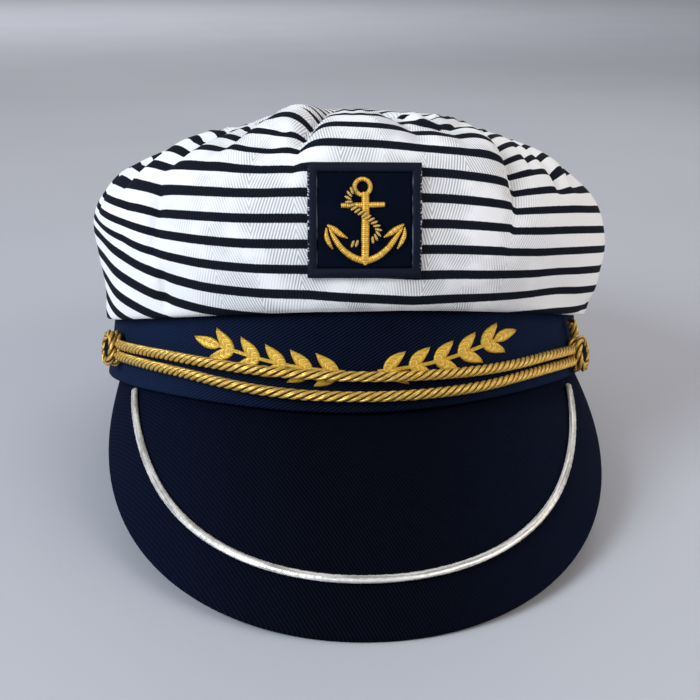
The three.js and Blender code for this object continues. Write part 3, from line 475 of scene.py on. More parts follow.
class HatShape:
    """The hat's surfaces as formulas. Angles are degrees from the front and positive to +X,
    lengths are millimetres in the hat's own frame."""

    def __init__(self, scene):
        for key in SETTINGS:
            setattr(self, key.removeprefix("hat_"), sizes(getattr(scene, key)))
        self.place_on_frame()

    def place_on_frame(self):
        """Finds how the hat is tipped, from the direction of its mount, and how far it is moved,
        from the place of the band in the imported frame."""
        axis = frame["record"]["mounts"][0]["axis"]
        tip = math.atan2(-axis[1], -axis[2])
        c, s = math.cos(tip), math.sin(tip)
        self.turn = np.array([[1, 0, 0], [0, c, s], [0, -s, c]])
        self.offset = np.zeros(3)
        corners = self.to_frame(self.band_section(np.arange(0, 360, 5)[None, :])).reshape(-1, 3)
        low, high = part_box("band")
        own = (corners.min(0) + corners.max(0)) / 2
        self.offset = (np.array(low) + np.array(high)) / 2 - own

    def to_frame(self, points):
        """Points of the hat's frame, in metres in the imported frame."""
        return points @ self.turn.T * MM + self.offset

    # The band.

    def band_dip(self, angle):
        """How low the band's edge hangs: a power of the cosine, in front only."""
        b = self.band
        return -b.front_dip * np.maximum(np.cos(np.radians(angle)), 0) ** b.dip_power

    def band_face(self, angle, z, off):
        """A point of the band's leaning face, moved outwards by off."""
        b = self.band
        share = z / b.height
        width = b.half_width_bottom + (b.half_width_top - b.half_width_bottom) * share
        depth = b.half_depth_bottom + (b.half_depth_top - b.half_depth_bottom) * share
        return on_oval(angle, width + off, depth + off, b.roundness, z)

    def band_normal(self, angle):
        """The band's outward direction: its way round crossed with its way up."""
        along = self.band_face(angle + 0.5, 0, 0) - self.band_face(angle - 0.5, 0, 0)
        up = self.band_face(angle, self.band.height, 0) - self.band_face(angle, 0, 0)
        return unit(np.cross(along, up))

    def band_section(self, angle):
        """The band's section as a stack of rows: the outer face with its hem, the top, the inner
        face. Each row is a line of points round the band."""
        b = self.band
        low = self.band_dip(angle)
        hem = [(0, 0), (0.55, 0.22), (0.86, 0.6), (1, b.hem_rise), (0.9, 2.3), (0.55, 3.5)]
        rows = [self.band_face(angle, low + z, b.hem_bulge * off) for off, z in hem]
        rows.append(self.band_face(angle, low + b.hem_height, b.hem_step))
        top = b.height
        for share in np.linspace(0.15, 1, 8):
            z = low + b.hem_height + (top - low - b.hem_height) * share
            rows.append(self.band_face(angle, z, b.hem_step * (1 - share)))
        for share in np.linspace(0, 1, 6):
            rows.append(self.band_face(angle, top + (low - top) * share, -b.wall))
        return np.concatenate(rows, axis=0)

    def on_band(self, x, z, off):
        """Points on the band's front by their x and z, moved outwards by off. The angle is found
        by stepping towards the wanted x."""
        angle = np.zeros_like(np.asarray(x, float))
        for _ in range(12):
            rate = (self.band_face(angle + 0.2, z, 0) - self.band_face(angle - 0.2, z, 0))[..., 0]
            angle += np.clip((x - self.band_face(angle, z, 0)[..., 0]) * 0.4 / rate, -10, 10)
        return self.band_face(angle, z, 0) + self.band_normal(angle) * np.asarray(off)[..., None]

    # The crown.

    def crown_row(self, ring, key):
        """A column of the crown's table at any ring, by the Catmull-Rom cubic."""
        return through(CROWN[key][:, None], ring / LAST_RING)[..., 0]

    def plain_crown(self, angle, ring):
        """The crown before its gathers."""
        s = np.sin(np.radians(angle))
        c = np.cos(np.radians(angle))
        row = {key: self.crown_row(ring, key) for key in CROWN if key != "ring"}
        across = np.where(s >= 0, row["right_out"], row["left_out"])
        side_up = np.where(s >= 0, row["right_up"], row["left_up"])
        along = np.where(c >= 0, row["front_out"], row["back_out"])
        end_up = np.where(c >= 0, row["front_up"], row["back_up"])
        x = across * power(s, 2 / row["round"])
        y = -along * power(c, 2 / row["round"])
        return stacked(x, y, side_up * s * s + end_up * c * c)

    def crown_normal(self, angle, ring):
        """The plain crown's outward direction, which is straight up at its centre."""
        around = self.plain_crown(angle + 0.5, ring) - self.plain_crown(angle - 0.5, ring)
        above = self.plain_crown(angle, np.minimum(ring + 0.02, LAST_RING))
        up = above - self.plain_crown(angle, np.maximum(ring - 0.02, 0))
        flat = (ring > LAST_RING - 0.02)[..., None]
        return np.where(flat, [0, 0, 1], unit(np.cross(around, up)))

    def gather(self, angle, ring):
        """How far the gathers move the cloth outwards, and how far they drag its stripes down.
        A pleat is a valley about a line that leans from its foot to its head. Across it the
        depth falls as exp(-|w / reach|^sharpness), with its own reach on each side. A puff is a
        round Gaussian hill. A crease is a valley about a short straight line."""
        plain = self.plain_crown(angle, ring)
        radius = np.hypot(plain[..., 0], plain[..., 1])
        sharp = self.crown.fold_power
        keen = self.crown.deep_power
        out = np.zeros(np.broadcast(angle, ring).shape)
        drag = np.zeros_like(out)
        for p in PLEATS:
            share = (ring - p.foot_ring) / (p.head_ring - p.foot_ring)
            lean = np.clip(share, -0.2, 1.2) * (p.head_angle - p.foot_angle)
            away = np.radians(turn_between(angle, p.foot_angle + lean)) * radius
            reach = np.where(away < 0, p.left, p.right)
            strength = smooth(-0.12, 0.3, share) * (1 - smooth(0.55, 1.05, share))
            power_here = keen if p.depth > 5 else sharp
            out -= p.depth * strength * np.exp(-np.abs(away / reach) ** power_here)
            sink = smooth(-0.25, 0.45, share) * (1 - smooth(0.8, 1.2, share))
            if p.drag >= 0:
                slide = np.where(away < 0, p.drag_left, p.drag_right)
                drag += p.drag * sink * np.exp(-np.abs(away) / slide)
            else:
                right = smooth(-p.drag_left, p.drag_left, away)
                drag -= p.drag * sink * right * np.exp(-np.abs(away) / p.drag_right)
        for p in PUFFS:
            away = np.radians(turn_between(angle, p.angle)) * radius
            across = (ring - p.ring) / p.rings
            out += p.height * np.exp(-((away / p.along) ** 2) - across**2)
        for p in CREASES:
            ends = np.array([[p.start_angle, p.start_ring], [p.end_angle, p.end_ring]], float)
            start, end = self.plain_crown(ends[:, 0], ends[:, 1])
            normal = self.crown_normal(*ends.mean(axis=0)[:, None])[0]
            span = np.linalg.norm(end - start)
            way = (end - start) / span
            side = np.cross(normal, way)
            from_start = plain - start
            along = from_start @ way / span
            away = from_start @ side
            level = np.abs(from_start @ normal)
            near = (1 - smooth(12, 25, level)) * smooth(-0.25, 0.35, along)
            near *= 1 - smooth(0.65, 1.25, along)
            reach = np.where(away > 0, p.reach, p.far)
            out -= p.depth * near * np.exp(-np.abs(away / reach) ** sharp)
            slide = np.where(away > 0, p.reach * 1.2, p.far * 1.6)
            drag += p.drag * near * np.exp(-np.abs(away / slide))
        return out, drag

    def crown_surface(self, angle, ring, depth):
        """Points of the crown, moved inwards by depth, and the drag of the stripes there. The
        seam is a groove between two low ridges, with small puckers to both sides of it."""
        c = self.crown
        out, drag = self.gather(angle, ring)
        plain = self.plain_crown(angle, ring)
        radius = np.hypot(plain[..., 0], plain[..., 1])
        around = np.radians(angle) * radius
        beside = (ring - c.seam_ring) * RING_AT_SEAM
        out -= c.seam_depth * np.exp(-((beside / 0.7) ** 2))
        out += 0.35 * np.exp(-(((np.abs(beside) - 1.5) / 0.8) ** 2))
        pucker = np.sin(around / 1.15 + 2 * np.sin(around / 7)) * (0.6 + 0.4 * np.sin(around / 19))
        out += c.pucker * pucker * np.exp(-np.abs(beside) / 3.2) * (1 - np.exp(-beside**2))
        height = plain[..., 2]
        slow = np.sin(around / 11 + 1.3 * np.sin(height / 13)) * np.sin(height / 17 + around / 31)
        slow += 0.5 * np.sin(around / 5.3 + height / 6.1) * np.sin(height / 9 - around / 14)
        out += c.ripple * slow * smooth(0.5, 3, ring) * (1 - smooth(9, 10.5, ring))
        fade = 1 - smooth(LAST_RING - 1.2, LAST_RING - 0.2, ring)
        shift = (out * fade - depth)[..., None]
        return plain + self.crown_normal(angle, ring) * shift, drag * fade

    def crown_front(self, x, z, off):
        """Points on the crown's front by their x and z, moved outwards by off. Ring and angle
        are found by stepping towards the wanted place on the crown without its gathers."""
        x = np.asarray(x, float)
        angle = np.zeros_like(x)
        ring = np.full_like(x, 4)
        for _ in range(14):
            here = self.plain_crown(angle, ring)
            slope = self.plain_crown(angle, ring + 0.05)[..., 2] - here[..., 2]
            ring += np.clip((z - here[..., 2]) * 0.05 / slope, -0.6, 0.6)
            rate = self.plain_crown(angle + 0.2, ring) - self.plain_crown(angle - 0.2, ring)
            here = self.plain_crown(angle, ring)
            angle += np.clip((x - here[..., 0]) * 0.4 / rate[..., 0], -8, 8)
        out, _ = self.gather(angle, ring)
        shift = (out + off)[..., None]
        return self.plain_crown(angle, ring) + self.crown_normal(angle, ring) * shift

    def stripe_height(self, angle, z):
        """The height at which a thread of the side cloth stood before the crown was shaped. At
        the left the cloth runs up and its lower part is drawn together."""
        turn = np.abs(angle)
        ahead = np.sin(np.radians(np.minimum(turn, SIDE_TURN) * 90 / SIDE_TURN)) ** 3
        rear = np.clip((turn - SIDE_TURN) / (180 - SIDE_TURN), 0, 1)
        rise = np.where(turn > SIDE_TURN, np.cos(np.radians(rear * 90)) ** 2, ahead)
        low, high = LOW_THREAD + LOW_RISE * rise, HIGH_THREAD + HIGH_RISE * rise
        between = LOW_THREAD + (HIGH_THREAD - LOW_THREAD) * (z - low) / (high - low)
        upper = np.where(z >= high, z - HIGH_RISE * rise, between)
        left = np.where(z <= low, z - LOW_RISE * rise, upper)
        far = 1 + 0.13 * (z - 25)
        right = np.interp(angle, [-9, 9.5], [0, 2.1])
        right = right + (far - 2.1) * smooth(9.5, 37, angle)
        right = z + right * (1 - smooth(120, 180, angle))
        return np.where(angle < -9, left, np.where(angle > 0, right, np.maximum(left, right)))

    # The peak.

    def peak_length(self, angle):
        """Its length at an angle: full in front, and falling off as a power of the angle."""
        p = self.peak
        share = np.minimum(np.abs(angle) / p.half_span, 1)
        return p.length * (1 - share**p.spread) ** p.taper

    def peak_frame(self, angle):
        """Which way the peak runs and faces at an angle from the front."""
        p = self.peak
        droop = np.radians(p.droop + p.side_droop * np.sin(np.radians(angle)) ** 2)
        heading = np.radians(angle * p.fan)
        run = stacked(
            np.cos(droop) * np.sin(heading), -np.cos(droop) * np.cos(heading), -np.sin(droop))
        face = stacked(
            np.sin(droop) * np.sin(heading), -np.sin(droop) * np.cos(heading), np.cos(droop))
        return run, face

    def peak_face(self, angle, share, depth):
        """Points on the peak: share 0 at the band and 1 at the edge, under the top by depth."""
        p = self.peak
        run, face = self.peak_frame(angle)
        reach = self.peak_length(angle)
        root = self.band_face(angle, self.band_dip(angle), -p.inset) - [0, 0, self.band.gap]
        arch = p.arch * 4 * share * (1 - share) * reach / p.length
        return root + run * (reach * share)[..., None] + face * (arch - depth)[..., None]

    # The badge.

    def on_badge(self, across, up, out):
        """Points on the badge: across and up from its middle, and out from the crown."""
        b = self.badge
        c, s = math.cos(math.radians(b.turn)), math.sin(math.radians(b.turn))
        x = b.middle_x + across * c - up * s
        z = b.middle_z + across * s + up * c
        return self.crown_front(x, z, b.above + out)


# ---- Meshes -------------------------------------------------------------------------------


class Cloth:
    """Collects closed surfaces, each a grid of points, and makes one mesh of them."""

    def __init__(self, shape):
        self.shape = shape
        self.points = []
        self.corners = []
        self.maps = []
        self.counts = []
        self.total = 0

    def surface(self, points, uv=None, loop=False, caps=False):
        """Adds a grid of rows and columns, whose last column joins the first. loop joins the last
        row to the first, and caps closes the first and last rows to a point in their middle. The
        grid is turned round if its enclosed volume comes out negative."""
        rows, columns = points.shape[:2]
        steps = np.arange(rows if loop else rows - 1)
        r, c = np.meshgrid(steps, np.arange(columns), indexing="ij")
        below, above = r * columns, (r + 1) % rows * columns
        after = (c + 1) % columns
        quads = np.stack([below + c, below + after, above + after, above + c], -1).reshape(-1, 4)
        if uv is None:
            uv = stacked(*np.meshgrid(np.arange(rows + 1), np.arange(columns + 1), indexing="ij"))
        quad_uv = np.stack([uv[r, c], uv[r, c + 1], uv[r + 1, c + 1], uv[r + 1, c]], -2)
        quad_uv = quad_uv.reshape(-1, 4, 2)
        flat = points.reshape(-1, 3)
        triangles = np.zeros((0, 3), int)
        triangle_uv = np.zeros((0, 3, 2))
        if caps:
            first, last = points[0].mean(0), points[-1].mean(0)
            flat = np.concatenate([flat, [first, last]])
            c = np.arange(columns)
            after = (c + 1) % columns
            top = (rows - 1) * columns
            start = np.stack([after, c, np.full(columns, len(flat) - 2)], -1)
            end = np.stack([top + c, top + after, np.full(columns, len(flat) - 1)], -1)
            middle = np.broadcast_to(uv[0].mean(0), (columns, 2))
            start_uv = np.stack([uv[0, c + 1], uv[0, c], middle], -2)
            middle = np.broadcast_to(uv[rows - 1].mean(0), (columns, 2))
            end_uv = np.stack([uv[rows - 1, c], uv[rows - 1, c + 1], middle], -2)
            triangles = np.concatenate([start, end])
            triangle_uv = np.concatenate([start_uv, end_uv])
        halves = np.concatenate([quads[:, [0, 1, 2]], quads[:, [0, 2, 3]], triangles])
        a, b, d = (flat[halves[:, i]] for i in range(3))
        if (a * np.cross(b, d)).sum() < 0:
            quads, quad_uv = quads[:, ::-1], quad_uv[:, ::-1]
            triangles, triangle_uv = triangles[:, ::-1], triangle_uv[:, ::-1]
        self.points.append(flat)
        self.corners += [quads.ravel() + self.total, triangles.ravel() + self.total]
        self.maps += [quad_uv.reshape(-1, 2), triangle_uv.reshape(-1, 2)]
        self.counts += [np.full(len(quads), 4), np.full(len(triangles), 3)]
        self.total += len(flat)

    def made(self, name, material, node, slot):
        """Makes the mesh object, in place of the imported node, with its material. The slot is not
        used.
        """
        points = self.shape.to_frame(np.concatenate(self.points))
        corners = np.concatenate(self.corners)
        counts = np.concatenate(self.counts)
        mesh = bpy.data.meshes.new(name)
        mesh.vertices.add(len(points))
        mesh.vertices.foreach_set("co", points.ravel())
        mesh.loops.add(len(corners))
        mesh.loops.foreach_set("vertex_index", corners)
        mesh.polygons.add(len(counts))
        mesh.polygons.foreach_set("loop_start", np.concatenate([[0], np.cumsum(counts)[:-1]]))
        mesh.polygons.foreach_set("use_smooth", np.ones(len(counts), bool))
        layer = mesh.uv_layers.new(name="cloth")
        layer.uv.foreach_set("vector", np.concatenate(self.maps).astype(np.float32).ravel())
        mesh.update()
        mesh.validate()
        mesh.materials.append(material)
        piece = bpy.data.objects.new(name, mesh)
        bpy.context.scene.collection.objects.link(piece)
        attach(piece, "root")
        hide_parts(node)


def wrapped(uv):
    """Repeats a map's first column after its last, one step further on."""
    step = uv[:, -1:] - uv[:, -2:-1]
    return np.concatenate([uv, uv[:, -1:] + step], axis=1)


def tube(path, up, profile):
    """A profile carried along a path. Each station has the path's direction, its up made square
    to that, and their cross as the side; the profile gives side and up distances."""
    along = unit(np.gradient(path, axis=0))
    side = unit(np.cross(along, up))
    lift = np.cross(side, along)
    profile = np.broadcast_to(profile, (len(path),) + profile.shape[-2:])
    return path[:, None] + side[:, None] * profile[..., :1] + lift[:, None] * profile[..., 1:]


def round_profile(radius, sides):
    """Points of a circle, as side and up distances."""
    turn = np.linspace(0, 2 * np.pi, sides, endpoint=False)
    return radius * np.stack([np.cos(turn), np.sin(turn)], axis=-1)


def tube_map(along, girth, sides):
    """A map whose u runs along a tube and v round it, both in millimetres."""
    v = np.linspace(0, girth, sides + 1)
    rows = np.concatenate([along, along[-1:]])
    return stacked(rows[:, None], v[None, :])


# ---- Materials ----------------------------------------------------------------------------


def srgb(red, green, blue):
    """A colour of 0 to 255 a channel, as the linear colour that a shader wants."""
    channels = np.array([red, green, blue]) / 255
    low = channels / 12.92
    high = ((channels + 0.055) / 1.055) ** 2.4
    return (*np.where(channels <= 0.04045, low, high), 1.0)


def both_ways(operation):
    """An operator and its reflected form, each of which places a Math node."""
    def forward(self, other):
        return self.paint.maths(operation, self, other)

    def reflected(self, other):
        return self.paint.maths(operation, other, self)

    return forward, reflected


class Term:
    """A number in a shader. Arithmetic on it places Math nodes."""

    __add__, __radd__ = both_ways("ADD")
    __sub__, __rsub__ = both_ways("SUBTRACT")
    __mul__, __rmul__ = both_ways("MULTIPLY")

    def __init__(self, paint, socket):
        self.paint = paint
        self.socket = socket

    def __neg__(self):
        return self * -1


class Paint:
    """A material under construction."""

    def __init__(self, name, roughness, **constants):
        self.material = bpy.data.materials.new(name)
        self.material.use_nodes = True
        self.tree = self.material.node_tree
        self.shader = self.tree.nodes["Principled BSDF"]
        self.shader.inputs["Roughness"].default_value = roughness
        for key, value in constants.items():
            self.shader.inputs[key.replace("_", " ")].default_value = value

    def node(self, kind, settings=None, inputs=None):
        """Places a node of a type, with its settings and its sockets' values."""
        made = self.tree.nodes.new(kind)
        for key, value in (settings or {}).items():
            setattr(made, key, value)
        for key, value in (inputs or {}).items():
            self.put(made.inputs[key], value)
        return made

    def put(self, socket, value):
        """Links a term to a socket, or sets the socket's value."""
        if isinstance(value, Term):
            self.tree.links.new(value.socket, socket)
        else:
            socket.default_value = value

    def maths(self, operation, *values):
        """Places a Math node."""
        made = self.tree.nodes.new("ShaderNodeMath")
        made.operation = operation
        for socket, value in zip(made.inputs, values):
            self.put(socket, value)
        return Term(self, made.outputs[0])

    def sin(self, value):
        """The sine of a term in radians."""
        return self.maths("SINE", value)

    def between(self, value, low, high):
        """0 below low, 1 above high and smooth between."""
        made = self.node(
            "ShaderNodeMapRange", {"interpolation_type": "SMOOTHSTEP"},
            {"Value": value, "From Min": low, "From Max": high})
        return Term(self, made.outputs["Result"])

    def mix(self, factor, a, b):
        """Colour a where the factor is 0 and b where it is 1."""
        made = self.tree.nodes.new("ShaderNodeMix")
        made.data_type = "RGBA"
        self.put(made.inputs["Factor"], factor)
        self.put(made.inputs[6], a)
        self.put(made.inputs[7], b)
        return Term(self, made.outputs[2])

    def cloth_map(self):
        """The two numbers of the piece's own map."""
        uv = self.node("ShaderNodeUVMap", {"uv_map": "cloth"})
        parts = self.node("ShaderNodeSeparateXYZ", inputs={"Vector": Term(self, uv.outputs[0])})
        return Term(self, parts.outputs[0]), Term(self, parts.outputs[1])

    def place(self, scale):
        """Object coordinates in millimetres, times a scale."""
        at = self.node("ShaderNodeTexCoord")
        size = (scale / MM,) * 3
        made = self.node(
            "ShaderNodeVectorMath", {"operation": "MULTIPLY"},
            {0: Term(self, at.outputs["Object"]), 1: size})
        return Term(self, made.outputs[0])

    def noise(self, vector, detail, roughness=0.5):
        """Cloudy noise at a vector, whose clouds are about 1 across."""
        made = self.node(
            "ShaderNodeTexNoise", inputs={
                "Vector": vector, "Scale": 1.0, "Detail": detail, "Roughness": roughness})
        return Term(self, made.outputs["Fac"])

    def grain(self, scale, detail):
        """Noise through the piece, at a scale per millimetre."""
        return self.noise(self.place(scale), detail)

    def spots(self, u, v, detail, roughness=0.5):
        """Noise over the piece's map, already scaled."""
        flat = self.node("ShaderNodeCombineXYZ", inputs={0: u, 1: v})
        return self.noise(Term(self, flat.outputs[0]), detail, roughness)

    def wave(self, value, pitch):
        """A wave of the given pitch, from 0 to 1."""
        return 0.5 + 0.5 * self.sin(value * (2 * math.pi / pitch))

    def zigzag(self, value, width):
        """Goes up and down evenly, turning after each width."""
        return self.maths("PINGPONG", value, width)

    def finish(self, colour, height=None, distance=0.1, strength=1.0, roughness=None):
        """Joins the colour, the relief in millimetres and the roughness to the shader."""
        self.put(self.shader.inputs["Base Color"], colour)
        if roughness is not None:
            self.put(self.shader.inputs["Roughness"], roughness)
        if height is not None:
            bump = self.node(
                "ShaderNodeBump", inputs={
                    "Height": height, "Distance": distance * MM, "Strength": strength})
            self.tree.links.new(bump.outputs[0], self.shader.inputs["Normal"])
        return self.material


def striped_cloth(crown):
    """White herringbone cotton with dark stripes. The map's v is the height in the cloth: a
    stripe lies wherever v is within half a stripe of its repeat. The fine lines run steeply and
    turn their lean every few millimetres, so that they meet in points."""
    paint = Paint("striped_cotton", 0.85, Specular_IOR_Level=0.08)
    u, v = paint.cloth_map()
    wobble = paint.spots(u * 0.9, v * 0.9, 3.0) - 0.5
    phase = paint.zigzag(v - crown.stripe_at, crown.pitch / 2)
    edge = phase + wobble * 0.22
    half = crown.stripe / 2 + paint.between(-u, 20, 120) * crown.stripe_left
    dark = 1 - paint.between(edge, half - 0.13, half + 0.13)
    steep = math.radians(70)
    lines = paint.zigzag(u + 300, 14.0) * math.sin(steep) + v * math.cos(steep)
    weave = paint.wave(lines, 0.9)
    patch = paint.spots(u * 0.06, v * 0.06, 2.0)
    nearness = 1 - paint.between(paint.maths("ABSOLUTE", u), 36, 80)
    seen = nearness * paint.between(patch, 0.36, 0.58) * 0.9 + 0.1
    tone = paint.grain(0.02, 4.0)
    white = paint.mix(tone, srgb(232, 234, 240), srgb(246, 246, 246))
    lined = paint.mix(weave * seen * 0.62, white, srgb(112, 114, 124))
    stripe = paint.mix(weave * 0.5, srgb(10, 13, 22), srgb(30, 36, 50))
    fuzz = paint.grain(3.0, 3.0)
    return paint.finish(
        paint.mix(dark, lined, stripe), weave * (0.3 + seen) + fuzz * 0.5, 0.09, 0.8)


def twill(name, base, painted_sheen, ridge, lean, pitch, roughness, depth, contrast):
    """Diagonal twill: ridges that lean by an angle, at a pitch measured across them. The cloth is
    darkest in the middle of the front, as painted shade, and paler towards both sides, as a
    painted sheen."""
    paint = Paint(name, roughness, Specular_IOR_Level=0.05)
    u, v = paint.cloth_map()
    tilt = math.radians(lean)
    bend = paint.spots(u * 0.35, v * 0.35, 2.0) - 0.5
    across = v * math.cos(tilt) - u * math.sin(tilt) + bend * 0.25
    ridges = paint.wave(across, pitch)
    cross = paint.wave(u * math.cos(tilt) + v * math.sin(tilt), pitch * 0.62)
    mottle = paint.grain(0.25, 4.0)
    # Painted light: towards the sides the cloth takes the painted sheen colour. In the middle of
    # the front it keeps the dark base, with fainter ridges, as painted shade.
    sides = paint.between(paint.maths("ABSOLUTE", u), 10, 92)
    lines = ridges * ridges * (0.6 + 0.4 * sides)
    shade = lines * (0.7 + 0.3 * cross) * (0.55 + 0.9 * mottle) * contrast
    colour = paint.mix(shade, paint.mix(sides, base, painted_sheen), ridge)
    return paint.finish(colour, ridges + 0.35 * cross + 0.3 * mottle, depth, 0.9)


def satin(name, base, light, shadow, pitch, roughness):
    """Embroidery in satin stitch: fine threads side by side across the map's u. The light colour
    is a painted highlight in streaks, and the shadow colour is painted shade between the threads.
    """
    paint = Paint(name, roughness, Metallic=0.35)
    u, v = paint.cloth_map()
    stray = paint.spots(u * 1.2, v * 0.35, 3.0) - 0.5
    threads = paint.wave(u + stray * pitch * 1.4, pitch)
    # Painted highlight in streaks, and painted shade in the grooves between the threads.
    highlight_streak = paint.spots(u * 2.6, v * 0.5, 3.0)
    body = paint.mix(paint.between(highlight_streak, 0.32, 0.7), base, light)
    colour = paint.mix(threads * 0.55 + 0.4, shadow, body)
    return paint.finish(colour, threads + highlight_streak * 0.6, 0.1, 0.9)


def gold_cord(name, girth, groove_shade):
    """Twisted metallic thread: fine yarns that run along each strand of the given girth. The map's
    v is a quarter of the girth at the strand's outermost line, and inwards it takes the colour of
    the painted shade in the grooves between strands. Streaks of painted highlight run along the
    strands."""
    paint = Paint("gold_thread_" + name, 0.3, Metallic=0.6)
    u, v = paint.cloth_map()
    outward = paint.sin(v * (2 * math.pi / girth))
    yarn = paint.wave(v + u * 0.3, 0.42)
    highlight_streak = paint.spots(u * 0.7, v * 2.4, 3.0)
    # Painted highlight: streaks of pale gold along the strands.
    bright = paint.mix(paint.between(highlight_streak, 0.35, 0.65), srgb(226, 166, 48), srgb(255, 230, 134))
    body = paint.mix(yarn * 0.4 + 0.6, srgb(150, 98, 26), bright)
    # Painted shade: darker towards the grooves between strands.
    colour = paint.mix(paint.between(outward, 0.04, 0.84), groove_shade, body)
    return paint.finish(colour, yarn + highlight_streak * 0.5, 0.1, 0.8)


def silver_piping():
    """Bright foil over a cord, with small crinkles across it and painted highlights in streaks
    along it.
    """
    paint = Paint("silver_foil", 0.28, Metallic=0.5)
    u, v = paint.cloth_map()
    crinkle = paint.spots(u * 0.5, v * 1.1, 3.0, 0.6)
    highlight_streak = paint.spots(u * 0.07, v * 1.3, 3.0)
    # Painted highlight: streaks where the grey foil turns near white.
    painted_shine = paint.between(highlight_streak * 0.75 + crinkle * 0.25, 0.36, 0.6)
    colour = paint.mix(painted_shine, srgb(176, 174, 168), srgb(248, 246, 241))
    rough = 0.22 + 0.2 * crinkle
    return paint.finish(colour, crinkle + highlight_streak, 0.12, 1.0, rough)


def hem_cloth(half):
    """The badge's hem: dark satin with fine stitches across it, pale flecks of thread over its
    outer edge on the left and right, and a painted glint along its inner edge on the left and
    right. The map's u runs round the square of the given half width from its lower left corner,
    and v over the hem."""
    paint = Paint("navy_satin", 0.6, Specular_IOR_Level=0.12)
    u, v = paint.cloth_map()
    stitches = paint.wave(u + v * 0.15, 0.55)
    slow = paint.spots(u * 0.12, v * 0.3, 2.0)
    dark = paint.mix(stitches * 0.5 + slow * 0.5, srgb(3, 6, 16), srgb(16, 24, 46))
    side = paint.between(-paint.sin(u * (math.pi / (2 * half))), 0.05, 0.3)
    scatter = paint.spots(u * 1.4, v * 0.25, 2.0)
    outer = paint.between(v, 1.2, 1.7) * (1 - paint.between(v, 3.4, 4.0))
    flecks = side * outer * paint.between(scatter, 0.55, 0.62)
    # Painted glint: a pale line along the inner edge of the hem, on the left and right.
    inner = paint.between(v, 5.7, 6.3) * (1 - paint.between(v, 6.7, 7.3))
    painted_glint = side * inner * paint.between(slow, 0.42, 0.6) * 0.4
    colour = paint.mix(flecks, dark, srgb(196, 198, 206))
    colour = paint.mix(painted_glint, colour, srgb(150, 156, 176))
    return paint.finish(colour, stitches + slow * 2, 0.08, 0.7)


def velvet():
    """The badge's field: near black pile, with slow patches where it is brushed."""
    paint = Paint("navy_pile", 0.95, Specular_IOR_Level=0.04)
    patch = paint.grain(0.12, 3.0)
    pile = paint.grain(2.5, 2.0)
    colour = paint.mix(patch, srgb(3, 7, 18), srgb(8, 15, 32))
    return paint.finish(colour, pile, 0.08, 0.6)


# ---- Pieces -------------------------------------------------------------------------------


class HatOperator:
    """What the operators share: each builds its pieces from the hat's shape."""

    bl_options = {"REGISTER", "UNDO"}

    def execute(self, context):
        self.build(HatShape(context.scene))
        return {"FINISHED"}


class HAT_OT_make_band(HatOperator, bpy.types.Operator):
    """Adds the band: its leaning oval section, with a hem at the foot, carried round the head"""

    bl_idname = "hat.make_band"
    bl_label = "Band"

    def build(self, shape):
        b = shape.band
        around = np.radians(np.linspace(-180, 180, b.columns + 1)) * BAND_MAP_RADIUS
        angle = np.linspace(-180, 180, b.columns, endpoint=False)[None, :]
        rows = shape.band_section(angle)
        height = closed(np.concatenate([rows[..., 2], rows[:1, :, 2]]))
        cloth = Cloth(shape)
        cloth.surface(rows, stacked(around[None, :], height), loop=True)
        # The second colour is the painted sheen towards the band's sides.
        material = twill(
            "navy_twill", srgb(0, 2, 11), srgb(12, 24, 48), srgb(28, 42, 76), 28, 0.92, 0.85,
            0.12, 0.75)
        cloth.made("band_cloth", material, "band", "band_cloth")


